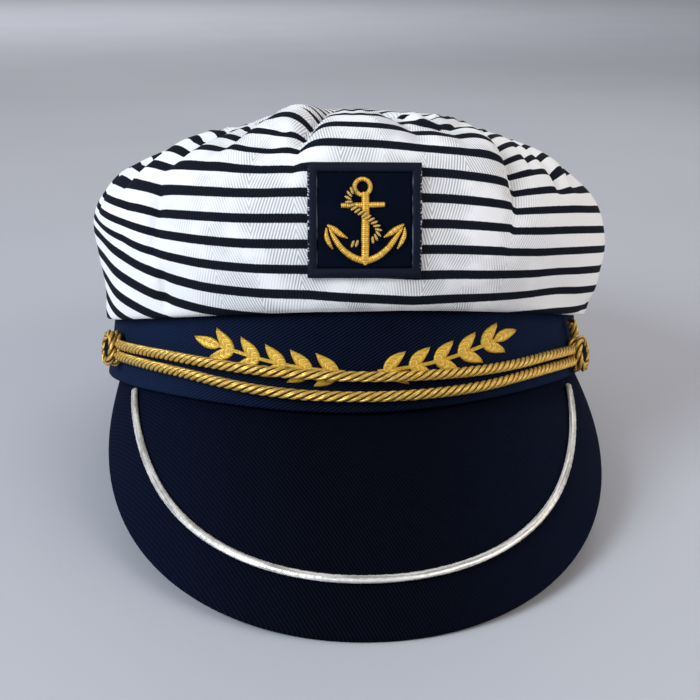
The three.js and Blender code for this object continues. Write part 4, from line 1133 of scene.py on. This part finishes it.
class HAT_OT_make_crown(HatOperator, bpy.types.Operator):
    """Adds the crown's side and top panel: the plain crown is a superellipse for each ring of a
    table, and its gathers, creases and seam move it along its own normal"""

    bl_idname = "hat.make_crown"
    bl_label = "Crown"

    def build(self, shape):
        c, b = shape.crown, shape.band
        even = np.linspace(-180, 180, c.columns, endpoint=False)
        angle = (even - c.crowding * np.sin(np.radians(even)))[None, :]
        seam = c.seam_ring
        # Where each thread of the cloth lies, on a fine grid of rings.
        fine = np.linspace(0, LAST_RING, FINE_ROWS * LAST_RING + 1)[:, None]
        plain = shape.plain_crown(angle, fine)
        climbed = distances(plain)
        turn_row = TURN_RING * FINE_ROWS
        below = shape.stripe_height(angle, plain[..., 2])
        above = below[turn_row] + climbed - climbed[turn_row]
        thread = np.where(fine <= TURN_RING, below, above)
        belly = shape.plain_crown(angle, np.array([[BELLY_RING]]))[0]
        walked = distances(np.concatenate([belly, belly[:1]]))
        walked -= walked[np.argmin(np.abs(angle[0]))]

        def on_cloth(ring, drag):
            """The map of a row of rings: distance round the crown and height in the cloth."""
            place = ring[:, 0] * FINE_ROWS
            k = np.clip(np.floor(place).astype(int), 0, len(fine) - 2)
            t = (place - k)[:, None]
            height = thread[k] * (1 - t) + thread[k + 1] * t + drag
            return stacked(walked[None, :], closed(height))

        rings = np.linspace(0, 1, c.rows)[:, None]
        rings = (seam - c.seam_gap) * (0.75 * rings + 0.25 * rings**1.6)
        outside, drag = shape.crown_surface(angle, rings, 0)
        outside_map = on_cloth(rings, drag)
        inner_rings = np.linspace(seam - c.seam_gap, 3.5, 24)[:, None]
        inside, inside_drag = shape.crown_surface(angle, inner_rings, c.wall)
        inside_map = on_cloth(inner_rings, inside_drag)
        stands = b.height + b.gap
        rim = shape.band_face(angle, stands, -c.rim_in)
        corner = shape.band_face(angle, stands, c.tuck_out)
        tuck = shape.band_face(angle, outside[:1, :, 2], c.tuck_out)
        share = np.linspace(0.2, 1, 5)[:, None, None]
        wall = inside[-1:] + (rim - inside[-1:]) * share
        hidden = np.concatenate([wall, corner, tuck])
        hidden_map = np.repeat(outside_map[:1], len(hidden), axis=0)
        points = np.concatenate([outside, inside, hidden])
        uv = np.concatenate([outside_map, inside_map, hidden_map, outside_map[:1]])
        material = striped_cloth(c)
        side = Cloth(shape)
        side.surface(points, uv, loop=True)
        side.made("side_cloth", material, "crown_side", "striped_cloth")

        rings = np.linspace(seam + c.seam_gap, LAST_RING - 0.02, c.top_rows)[:, None]
        outside, drag = shape.crown_surface(angle, rings, 0)
        inside, _ = shape.crown_surface(angle, rings[::-1], c.wall)
        flat = shape.plain_crown(angle, rings)
        front = np.argmin(np.abs(angle[0]))
        seam_row = int(seam * FINE_ROWS)
        start = thread[seam_row, front] - plain[seam_row, front, 1]
        top_map = closed(stacked(flat[..., 0], flat[..., 1] + start + drag))
        top_map = np.concatenate([top_map[::-1], top_map, top_map[-1:]])
        top = Cloth(shape)
        top.surface(np.concatenate([inside, outside]), top_map, caps=True)
        top.made("top_cloth", material, "crown_top", "striped_cloth")


class HAT_OT_make_peak(HatOperator, bpy.types.Operator):
    """Adds the peak and its piping: the peak's length falls off round the band as a power of the
    angle, and the piping is a round profile carried at a distance from its edge"""

    bl_idname = "hat.make_peak"
    bl_label = "Peak"

    def build(self, shape):
        p, b = shape.peak, shape.band
        reach = p.half_span * p.end_share
        angle = (reach * np.sin(np.linspace(-90, 90, 260) * np.pi / 180))[:, None]
        out = np.linspace(0, 1, 60)[None, :]
        top = shape.peak_face(angle, out, np.zeros_like(out))
        turn = np.linspace(0, np.pi, 10)[None, 1:-1]
        run, _ = shape.peak_frame(angle)
        rim = shape.peak_face(angle, np.ones_like(turn), p.wall / 2 * (1 - np.cos(turn)))
        rim = rim + run * (p.lip * np.sin(turn))[..., None]
        back = np.linspace(1, 0, 40)[None, :-1]
        under = shape.peak_face(angle, back, p.wall)
        heel = shape.band_face(angle, shape.band_dip(angle), -p.inset - p.wall)
        heel = heel - [0, 0, b.gap + p.heel_drop]
        rows = np.concatenate([top, rim, under, heel], axis=1)
        across = rows[..., 0]
        down = np.hypot(rows[..., 1], rows[..., 2])
        uv = wrapped(stacked(across, -down))
        uv = np.concatenate([uv, uv[-1:]])
        cloth = Cloth(shape)
        cloth.surface(rows, uv, caps=True)
        # The second colour is the painted sheen towards the peak's sides.
        material = twill(
            "peak_twill", srgb(0, 0, 4), srgb(5, 12, 30), srgb(13, 22, 48), -58, 0.9, 0.85,
            0.08, 0.7)
        cloth.made("peak_cloth", material, "peak", "peak_cloth")

        angle = np.linspace(p.piping_left, p.piping_right, PIPING_SAMPLES)
        turn = (angle / 45) ** 4
        away = p.piping_from_edge + p.piping_drift * turn * np.exp(1 - turn)
        away = away + p.piping_ends * smooth(30, 57, np.abs(angle))
        reach = shape.peak_length(angle)
        share = np.maximum(reach - away, p.piping_from_band) / reach
        path = shape.peak_face(angle, share, np.zeros_like(share))
        path, along = evenly(path, PIPING_STEPS)
        where = np.interp(along / along[-1], np.linspace(0, 1, PIPING_SAMPLES), angle)
        _, face = shape.peak_frame(where)
        path = path + face * p.piping_above
        arc = np.linspace(0, 2 * np.pi, PIPING_SIDES, endpoint=False)
        crinkle = 1 + 0.035 * np.sin(along * 2.1) * np.sin(along * 0.63)
        crinkle += 0.02 * np.sin(along * 5.3)
        profile = np.stack([
            p.piping_half_width * np.cos(arc), p.piping_height / 2 * (1 + np.sin(arc))], axis=-1)
        rows = tube(path, face, profile[None] * crinkle[:, None, None])
        piping = Cloth(shape)
        piping.surface(rows, tube_map(along, 7.5, PIPING_SIDES), caps=True)
        piping.made("piping_foil", silver_piping(), "peak_piping", "silver_piping")


def stitch_line(route, width, sides):
    """A stitched line of changing width along a flat route: the angles round its profile and the
    places of its points. A place is the route's, plus half the width times the cosine to its
    side."""
    ahead = unit(np.gradient(route, axis=0))
    side = np.stack([ahead[:, 1], -ahead[:, 0]], axis=-1)
    arc = np.linspace(0, 2 * np.pi, sides, endpoint=False)
    over = np.cos(arc)[None, :, None] * side[:, None] * width[:, None, None] / 2
    return arc, route[:, None] + over


def stroke(shape, route, widths, relief, base, samples=90, sides=14):
    """A line of satin stitch on the badge: a low dome of changing width along a route."""
    shares = np.linspace(0, 1, samples)
    flat = through(route, shares)
    width = through(np.asarray(widths, float)[:, None], shares)[:, 0]
    arc, spot = stitch_line(flat, width, sides)
    dome = np.maximum(np.sin(arc), 0) ** 0.7 * relief + np.minimum(np.sin(arc), 0) * 0.05
    dome = dome[None, :] * smooth(0, 1.2, width)[:, None]
    rows = shape.on_badge(spot[..., 0], spot[..., 1], base + dome)
    return rows, tube_map(distances(flat), 2.0, sides)


class HAT_OT_make_badge(HatOperator, bpy.types.Operator):
    """Adds the badge: a square field and border bent onto the crown, with the anchor and its
    rope as domed lines of satin stitch"""

    bl_idname = "hat.make_badge"
    bl_label = "Badge"

    def build(self, shape):
        g, gap = shape.badge, shape.band.gap
        half = g.size / 2
        inner = half - g.border_width
        self.field(shape, inner - gap / 2, g)
        self.border(shape, half, inner, g)
        self.anchor(shape, g, g.field + 0.12)
        self.rope(shape, g)

    def field(self, shape, half, g):
        """The field: a flat slab on a square grid, top and bottom sewn at the edges."""
        share = np.linspace(-half, half, 48)
        up, across = np.meshgrid(share, share)
        top = shape.on_badge(across, up, np.full_like(up, g.field))
        under = shape.on_badge(across, up, np.zeros_like(up))[:, ::-1]
        rows = np.concatenate([top, under], axis=1)
        cloth = Cloth(shape)
        cloth.surface(rows, caps=True)
        cloth.made("badge_pile", velvet(), "badge_field", "badge_cloth")

    def border(self, shape, half, inner, g):
        """The border: a rounded section carried round the square, with fine stitches across."""
        step = np.linspace(-1, 1, 60, endpoint=False)
        one = np.ones_like(step)
        square = np.concatenate([
            np.stack([step, -one], -1), np.stack([one, step], -1),
            np.stack([-step, one], -1), np.stack([-one, -step], -1)])
        edge, top = g.edge_in, g.border
        section = [
            (inner, 0), (half, 0), (half, top * 0.55), (half - edge * 0.3, top * 0.85),
            (half - edge, top), (inner + edge, top), (inner + edge * 0.3, top * 0.85),
            (inner, top * 0.5),
        ]
        radius = np.array([r for r, _ in section])[:, None]
        lift = np.array([h for _, h in section])[:, None]
        across = square[None, :, 0] * radius
        up = square[None, :, 1] * radius
        rows = shape.on_badge(across, up, np.broadcast_to(lift, across.shape))
        walked = np.linspace(0, 8 * half, len(square) + 1)
        uv = stacked(walked[None, :], np.linspace(0, 8, len(section) + 1)[:, None])
        cloth = Cloth(shape)
        cloth.surface(rows, uv, loop=True)
        cloth.made("badge_hem", hem_cloth(half), "badge_border", "badge_cloth")

    def anchor(self, shape, g, base):
        """The anchor: ring, shank, stock, arms and barbs, each a line of satin stitch."""
        cloth = Cloth(shape)
        turn = np.linspace(0, 2 * np.pi, 80, endpoint=False)
        arc = np.linspace(0, 2 * np.pi, 12, endpoint=False)
        radius = 2.35 + 0.72 * np.cos(arc)[None, :]
        across = -0.8 + radius * np.cos(turn)[:, None]
        up = 9.8 + radius * np.sin(turn)[:, None]
        dome = np.maximum(np.sin(arc), 0) * g.relief * 0.85
        rows = shape.on_badge(across, up, base + np.broadcast_to(dome, across.shape))
        around = np.linspace(0, 15.4, 81)
        cloth.surface(rows, stacked(around[:, None], np.linspace(0, 2, 13)[None, :]), loop=True)
        strokes = [
            ([(0, 8.2), (0.1, 2), (0.05, -5), (0, -11.6)], [2.3, 2.4, 2.5, 2.3], 1.0),
            ([(-7.2, 4.3), (-3, 4.35), (2.6, 4.5), (5.8, 4.6)], [1.5, 1.7, 1.7, 1.5], 0.85),
            ([(0, -13.4), (0, -12.4), (0, -11.4), (0, -10.2)], [0.5, 2.4, 3.4, 1.0], 1.05),
            ([(-0.6, -12), (-3.6, -10.9), (-6.7, -8.6), (-9.1, -5.4), (-10.6, -2.4)],
             [2.1, 2.0, 1.8, 1.5, 0.7], 0.9),
            ([(0.6, -12), (3.7, -10.8), (6.8, -8.3), (9.2, -5.1), (11.1, -2.2)],
             [2.1, 2.0, 1.8, 1.5, 0.7], 0.9),
            ([(-11.3, -1.4), (-9.4, -2.6), (-7.3, -4.2), (-5.2, -5.4)],
             [0.6, 1.7, 1.6, 0.4], 1),
            ([(-11.5, -2.2), (-11.5, -4.6), (-10.8, -6.6), (-9.6, -8.6)],
             [0.5, 1.4, 1.4, 0.4], 0.9),
            ([(11.6, -1.2), (9.6, -2.5), (7.5, -3.9), (5.5, -5.1)],
             [0.6, 1.7, 1.6, 0.4], 1),
            ([(11.8, -2.0), (11.7, -4.4), (10.9, -6.4), (9.7, -8.5)],
             [0.5, 1.4, 1.4, 0.4], 0.9),
        ]
        for route, widths, lift in strokes:
            rows, uv = stroke(shape, route, widths, g.relief * lift, base)
            cloth.surface(rows, uv, caps=True)
        # Its third colour is a painted highlight and its last one painted shade between the
        # threads.
        material = satin(
            "gold_satin_stitch", srgb(226, 164, 34), srgb(255, 224, 112), srgb(150, 96, 18),
            g.stitch_width * 1.4, 0.36)
        cloth.made("anchor_stitches", material, "anchor", "gold_satin")

    def rope(self, shape, g):
        """The rope: short stitches side by side along its way, each across it and leaning, with
        none where it passes behind the foot of the anchor."""
        route = through(ROPE_ROUTE, np.linspace(0, 1, 400))
        walked = distances(route)
        cloth = Cloth(shape)
        over = g.field + g.relief + 0.25
        for at in np.arange(0.3, walked[-1], ROPE_STEP):
            here = read_off(at, walked, route)
            if abs(here[0]) < 1.5 and here[1] < 0:
                continue
            way = unit(read_off(at + 0.2, walked, route) - here)
            square = np.array([-way[1], way[0]])
            lean = square * 0.92 + way * 0.4
            ends = [here + lean * ROPE_REACH * share for share in (-1, -1 / 3, 1 / 3, 1)]
            rows, uv = stroke(shape, ends, [0.45, 0.85, 0.85, 0.45], 0.55, over, 12, 8)
            cloth.surface(rows, uv, caps=True)
        # Its third colour is a painted highlight and its last one painted shade between the
        # threads.
        material = satin(
            "pale_gold_stitch", srgb(206, 164, 70), srgb(240, 214, 140), srgb(136, 98, 36),
            0.5, 0.4)
        cloth.made("rope_stitches", material, "anchor_rope", "gold_satin")


class HAT_OT_make_laurel(HatOperator, bpy.types.Operator):
    """Adds two laurel sprays on the band: a stem and pairs of leaves, each a domed line of satin
    stitch whose width swells and closes"""

    bl_idname = "hat.make_laurel"
    bl_label = "Laurel"

    def build(self, shape):
        s = shape.laurel
        # Its third colour is a painted highlight and its last one painted shade between the
        # threads.
        material = satin(
            "gold_leaf_stitch", srgb(226, 172, 40), srgb(255, 226, 104), srgb(140, 94, 20), 0.62,
            0.38)
        for name, side in (("laurel_left", -1), ("laurel_right", 1)):
            cloth = Cloth(shape)
            self.line(cloth, shape, self.stem(s, side, np.linspace(0, 1, 50)),
                      np.full(50, s.stem_width), s)
            for i in range(s.pairs):
                root, ahead = self.stem(s, side, np.array([(i + 0.3), (i + 0.4)]) / s.pairs)
                heading = math.atan2(*(ahead - root)[::-1])
                for hand in (-1, 1):
                    self.leaf(cloth, shape, root, heading + hand * math.radians(s.leaf_angle), s)
            root, ahead = self.stem(s, side, np.array([0.97, 1.0]))
            self.leaf(cloth, shape, root, math.atan2(*(ahead - root)[::-1]), s)
            cloth.made(name + "_stitches", material, name, "gold_satin")

    def stem(self, s, side, share):
        """The stem's middle line: level distance and height, with a slight sag."""
        x = s.start_x + (s.end_x - s.start_x) * share
        z = s.start_z + (s.end_z - s.start_z) * share - s.sag * np.sin(np.pi * share)
        return stacked(side * x, z)

    def leaf(self, cloth, shape, root, heading, s):
        """A leaf: a slightly bowed line whose width is a sine over its length."""
        share = np.linspace(0, 1, 40)
        way = np.array([math.cos(heading), math.sin(heading)])
        square = np.array([-way[1], way[0]])
        bow = 0.35 * np.sin(np.pi * share)[:, None] * square
        route = root + (share * (s.leaf_length + 0.8) - 0.8)[:, None] * way + bow
        width = s.leaf_width * np.sin(np.pi * np.clip(share, 0.02, 0.985) ** 0.8) ** 0.9
        self.line(cloth, shape, route, width, s)

    def line(self, cloth, shape, route, width, s):
        """A domed line on the band, with a slight valley along its middle."""
        arc, spot = stitch_line(route, width, 16)
        valley = 1 - 0.35 * np.exp(-((np.cos(arc) / 0.22) ** 2))
        dome = np.maximum(np.sin(arc), 0) ** 0.7 * s.relief * valley
        dome = dome[None, :] * smooth(0, 1.6, width)[:, None]
        rows = shape.on_band(spot[..., 0], spot[..., 1], s.above + dome)
        lean = np.abs(np.cos(np.append(arc, 2 * np.pi))) * 1.6
        uv = tube_map(distances(route), 2.0, 16)
        uv[..., 0] += lean[None, :]
        cloth.surface(rows, uv, caps=True)


class HAT_OT_make_cords(HatOperator, bpy.types.Operator):
    """Adds the cords, coils and buttons: each cord is four strands, and each strand a round
    profile carried along a helix about the cord's path"""

    bl_idname = "hat.make_cords"
    bl_label = "Cords"

    def build(self, shape):
        s = shape.cords
        # The last colour of each is the painted shade in the grooves between strands; it is
        # lighter on the coils.
        cord_gold = gold_cord("cord", 2 * math.pi * s.strand, srgb(50, 24, 5))
        coil_gold = gold_cord("coil", 2 * math.pi * s.coil_strand, srgb(118, 76, 22))
        for name, route in (
                ("upper_cord", UPPER_CORD), ("lower_cord", LOWER_CORD), ("tail_cord", TAIL_CORD)):
            cloth = Cloth(shape)
            places = through(route, np.linspace(0, 1, CORD_SAMPLES))
            normal = shape.band_normal(places[:, 0])
            path = shape.band_face(places[:, 0], places[:, 1], 0) + normal * s.off_band
            path, along = evenly(path, len(route) * CORD_STEPS)
            normal = read_off(along / along[-1], np.linspace(0, 1, CORD_SAMPLES), normal)
            self.twisted(cloth, path, normal, along, s)
            cloth.made(name + "_strands", cord_gold, name, "gold_cord")
        dark = twill(
            "button_cloth", srgb(6, 9, 20), srgb(10, 13, 26), srgb(34, 42, 66), 40, 0.7, 0.7,
            0.1, 0.6)
        for hand in ("left", "right"):
            angle, z = getattr(s, hand + "_angle"), getattr(s, hand + "_z")
            self.button(shape, s, angle, z, "button_" + hand, dark)
            self.coil(shape, s, angle, z, "button_coil_" + hand, coil_gold)

    def twisted(self, cloth, path, normal, along, s, sides=12):
        """Four strands about a path, with longer turns in its middle. A strand's middle is the
        path plus the helix radius times cos(phase) of the normal plus sin(phase) of the up."""
        tangent = unit(np.gradient(path, axis=0))
        up = unit(np.cross(normal, tangent))
        up = up * np.sign(up[:, 2:3] + 1e-9)
        share = along / along[-1]
        slack = s.slack * np.exp(-(((share - SLACK_MIDDLE) / SLACK_REACH) ** 2))
        lay = s.twist * (1 + slack)
        turned = np.concatenate([[0], np.cumsum(np.diff(along) / lay[1:])])
        for k in range(4):
            phase = 2 * np.pi * (turned + k / 4)
            spin = np.cos(phase)[:, None] * normal + np.sin(phase)[:, None] * up
            rows = tube(path + s.helix * spin, spin, round_profile(s.strand, sides))
            cloth.surface(rows, tube_map(along, 2 * np.pi * s.strand, sides), caps=True)

    def stand(self, shape, angle, z):
        """Foot and three directions of a piece that stands out of the band."""
        out = shape.band_normal(angle)
        foot = shape.band_face(angle, z, 0)
        up = unit(np.array([0, 0, 1.0]) - out * out[2])
        return foot, out, up, np.cross(out, up)

    def button(self, shape, s, angle, z, name, material):
        """A turned button: its outline carried once round its axis."""
        foot, out, up, side = self.stand(shape, angle, z)
        top = s.button_height
        outline = [(0.02, s.button_foot), (0.94, s.button_foot), (1, s.button_foot + 0.3),
                   (1, top - 0.3), (0.96, top)]
        turn = np.linspace(0, np.pi / 2, 8)[1:]
        outline += [(0.96 * math.cos(t) + 0.02, top + s.button_dome * math.sin(t)) for t in turn]
        radius = np.array([r for r, _ in outline])[:, None, None] * s.button
        height = np.array([h for _, h in outline])[:, None, None]
        spin = np.linspace(0, 2 * np.pi, 40, endpoint=False)[None, :, None]
        rows = foot + height * out + radius * (np.cos(spin) * side + np.sin(spin) * up)
        flat = radius * np.concatenate([np.cos(spin), np.sin(spin)], axis=-1)
        uv = closed(np.concatenate([flat, flat[-1:]]))
        cloth = Cloth(shape)
        cloth.surface(rows, uv, caps=True)
        cloth.made(name + "_cloth", material, name, "band_cloth")

    def coil(self, shape, s, angle, z, name, material):
        """Two rings of cord round a button, one on the other. Each is three strands on a helix
        about a circle, which turn once in a third of the way round."""
        foot, out, up, side = self.stand(shape, angle, z)
        cloth = Cloth(shape)
        spin = np.linspace(0, 2 * np.pi, 121)[:, None]
        girth = s.button + 0.3 + s.coil_strand * 1.95
        helix, profile = s.coil_strand * 0.95, round_profile(s.coil_strand, 10)
        for height, start in ((2.5, 0.3), (4.95, 1.4)):
            turn = spin + start
            radial = np.cos(turn) * side + np.sin(turn) * up
            path = foot + out * height + radial * girth
            along = (spin * girth)[:, 0]
            twist = 2 * np.pi * girth / 3
            for k in range(3):
                phase = 2 * np.pi * (along / twist + k / 3)[:, None]
                lean = np.cos(phase) * radial + np.sin(phase) * out
                rows = tube(path + helix * lean, lean, profile)
                uv = tube_map(along, 2 * np.pi * s.coil_strand, 10)
                cloth.surface(rows[:-1], uv[:-1], loop=True)
        cloth.made(name + "_strands", material, name, "gold_cord")


# ---- Stage --------------------------------------------------------------------------------


class HAT_OT_make_stage(HatOperator, bpy.types.Operator):
    """Adds the floor, the lights, the room's light and the camera"""

    bl_idname = "hat.make_stage"
    bl_label = "Stage"

    def build(self, shape):
        s, scene = shape.stage, bpy.context.scene
        mesh = bpy.data.meshes.new("floor")
        reach = FLOOR_REACH
        corners = [(-reach, -reach, 0), (reach, -reach, 0), (reach, reach, 0), (-reach, reach, 0)]
        mesh.from_pydata(corners, [], [(0, 1, 2, 3)])
        paint = Paint("floor_paper", 0.55)
        grain = paint.grain(0.004, 3.0)
        colour = paint.mix(grain, srgb(176, 180, 190), srgb(188, 191, 200))
        mesh.materials.append(paint.finish(colour))
        floor = bpy.data.objects.new("floor", mesh)
        scene.collection.objects.link(floor)
        middle = Vector((0, 0, 0.06))
        self.light(scene, "key", (-0.95, -0.7, 0.75), middle, 0.7, s.key_power, (0.87, 0.94, 1))
        self.light(scene, "fill", (0.9, -0.75, 0.7), middle, 0.8, s.fill_power, (1, 0.93, 0.83))
        self.light(scene, "side", (1.1, -0.1, 0.5), middle, 0.6, s.side_power, (1, 0.85, 0.68))
        self.light(scene, "rim", (0.3, 0.9, 0.9), middle, 0.8, s.rim_power, (1, 0.98, 0.96))
        beyond = Vector((-0.6, 4.2, 0))
        self.light(scene, "far", (-0.9, 3.2, 2), beyond, 2.5, s.far_power, (1, 1, 1))
        world = bpy.data.worlds.new("room")
        world.use_nodes = True
        backdrop = world.node_tree.nodes["Background"]
        backdrop.inputs["Color"].default_value = srgb(208, 207, 212)
        backdrop.inputs["Strength"].default_value = s.world_strength
        scene.world = world
        scene.view_settings.view_transform = "Standard"
        data = bpy.data.cameras.new("camera")
        data.sensor_width = 36
        data.lens = s.lens
        data.clip_start, data.clip_end = 0.01, 50
        camera = bpy.data.objects.new("camera", data)
        scene.collection.objects.link(camera)
        eye, target = (Vector(shape.to_frame(np.array(at))) for at in (s.eye, s.target))
        camera.location = eye
        camera.rotation_euler = (target - eye).to_track_quat("-Z", "Y").to_euler()
        scene.camera = camera

    def light(self, scene, name, place, target, size, watts, colour):
        """A square lamp at a place, in metres, that faces its target."""
        data = bpy.data.lights.new(name, "AREA")
        data.energy = watts
        data.size = size
        data.color = colour
        lamp = bpy.data.objects.new(name, data)
        lamp.location = place
        lamp.rotation_euler = (target - Vector(place)).to_track_quat("-Z", "Y").to_euler()
        scene.collection.objects.link(lamp)


# ---- Add-on -------------------------------------------------------------------------------


SETTINGS = {
    "hat_band": HatBandSettings,
    "hat_crown": HatCrownSettings,
    "hat_peak": HatPeakSettings,
    "hat_badge": HatBadgeSettings,
    "hat_laurel": HatLaurelSettings,
    "hat_cords": HatCordSettings,
    "hat_stage": HatStageSettings,
}
OPERATORS = (
    HAT_OT_make_band, HAT_OT_make_crown, HAT_OT_make_peak, HAT_OT_make_badge,
    HAT_OT_make_laurel, HAT_OT_make_cords, HAT_OT_make_stage,
)


class HAT_PT_panel(bpy.types.Panel):
    """The hat's settings and a button for each of its groups of pieces"""

    bl_idname = "HAT_PT_panel"
    bl_label = "Captain hat"
    bl_space_type = "VIEW_3D"
    bl_region_type = "UI"
    bl_category = "Hat"

    def draw(self, context):
        for key, operator in zip(SETTINGS, OPERATORS):
            box = self.layout.box()
            box.operator(operator.bl_idname)
            group = getattr(context.scene, key)
            for prop in group.bl_rna.properties:
                if prop.identifier not in ("rna_type", "name"):
                    box.prop(group, prop.identifier)


def register():
    """Adds the settings, the operators and the panel."""
    for key, group in SETTINGS.items():
        bpy.utils.register_class(group)
        setattr(bpy.types.Scene, key, bpy.props.PointerProperty(type=group))
    for operator in OPERATORS:
        bpy.utils.register_class(operator)
    bpy.utils.register_class(HAT_PT_panel)


def unregister():
    """Takes them away again, in the opposite order."""
    bpy.utils.unregister_class(HAT_PT_panel)
    for operator in reversed(OPERATORS):
        bpy.utils.unregister_class(operator)
    for key, group in reversed(SETTINGS.items()):
        delattr(bpy.types.Scene, key)
        bpy.utils.unregister_class(group)


def main():
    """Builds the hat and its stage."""
    register()
    bpy.ops.hat.make_band()
    bpy.ops.hat.make_crown()
    bpy.ops.hat.make_peak()
    bpy.ops.hat.make_badge()
    bpy.ops.hat.make_laurel()
    bpy.ops.hat.make_cords()
    bpy.ops.hat.make_stage()
    bpy.context.view_layer.update()


if __name__ == "__main__":
    main()
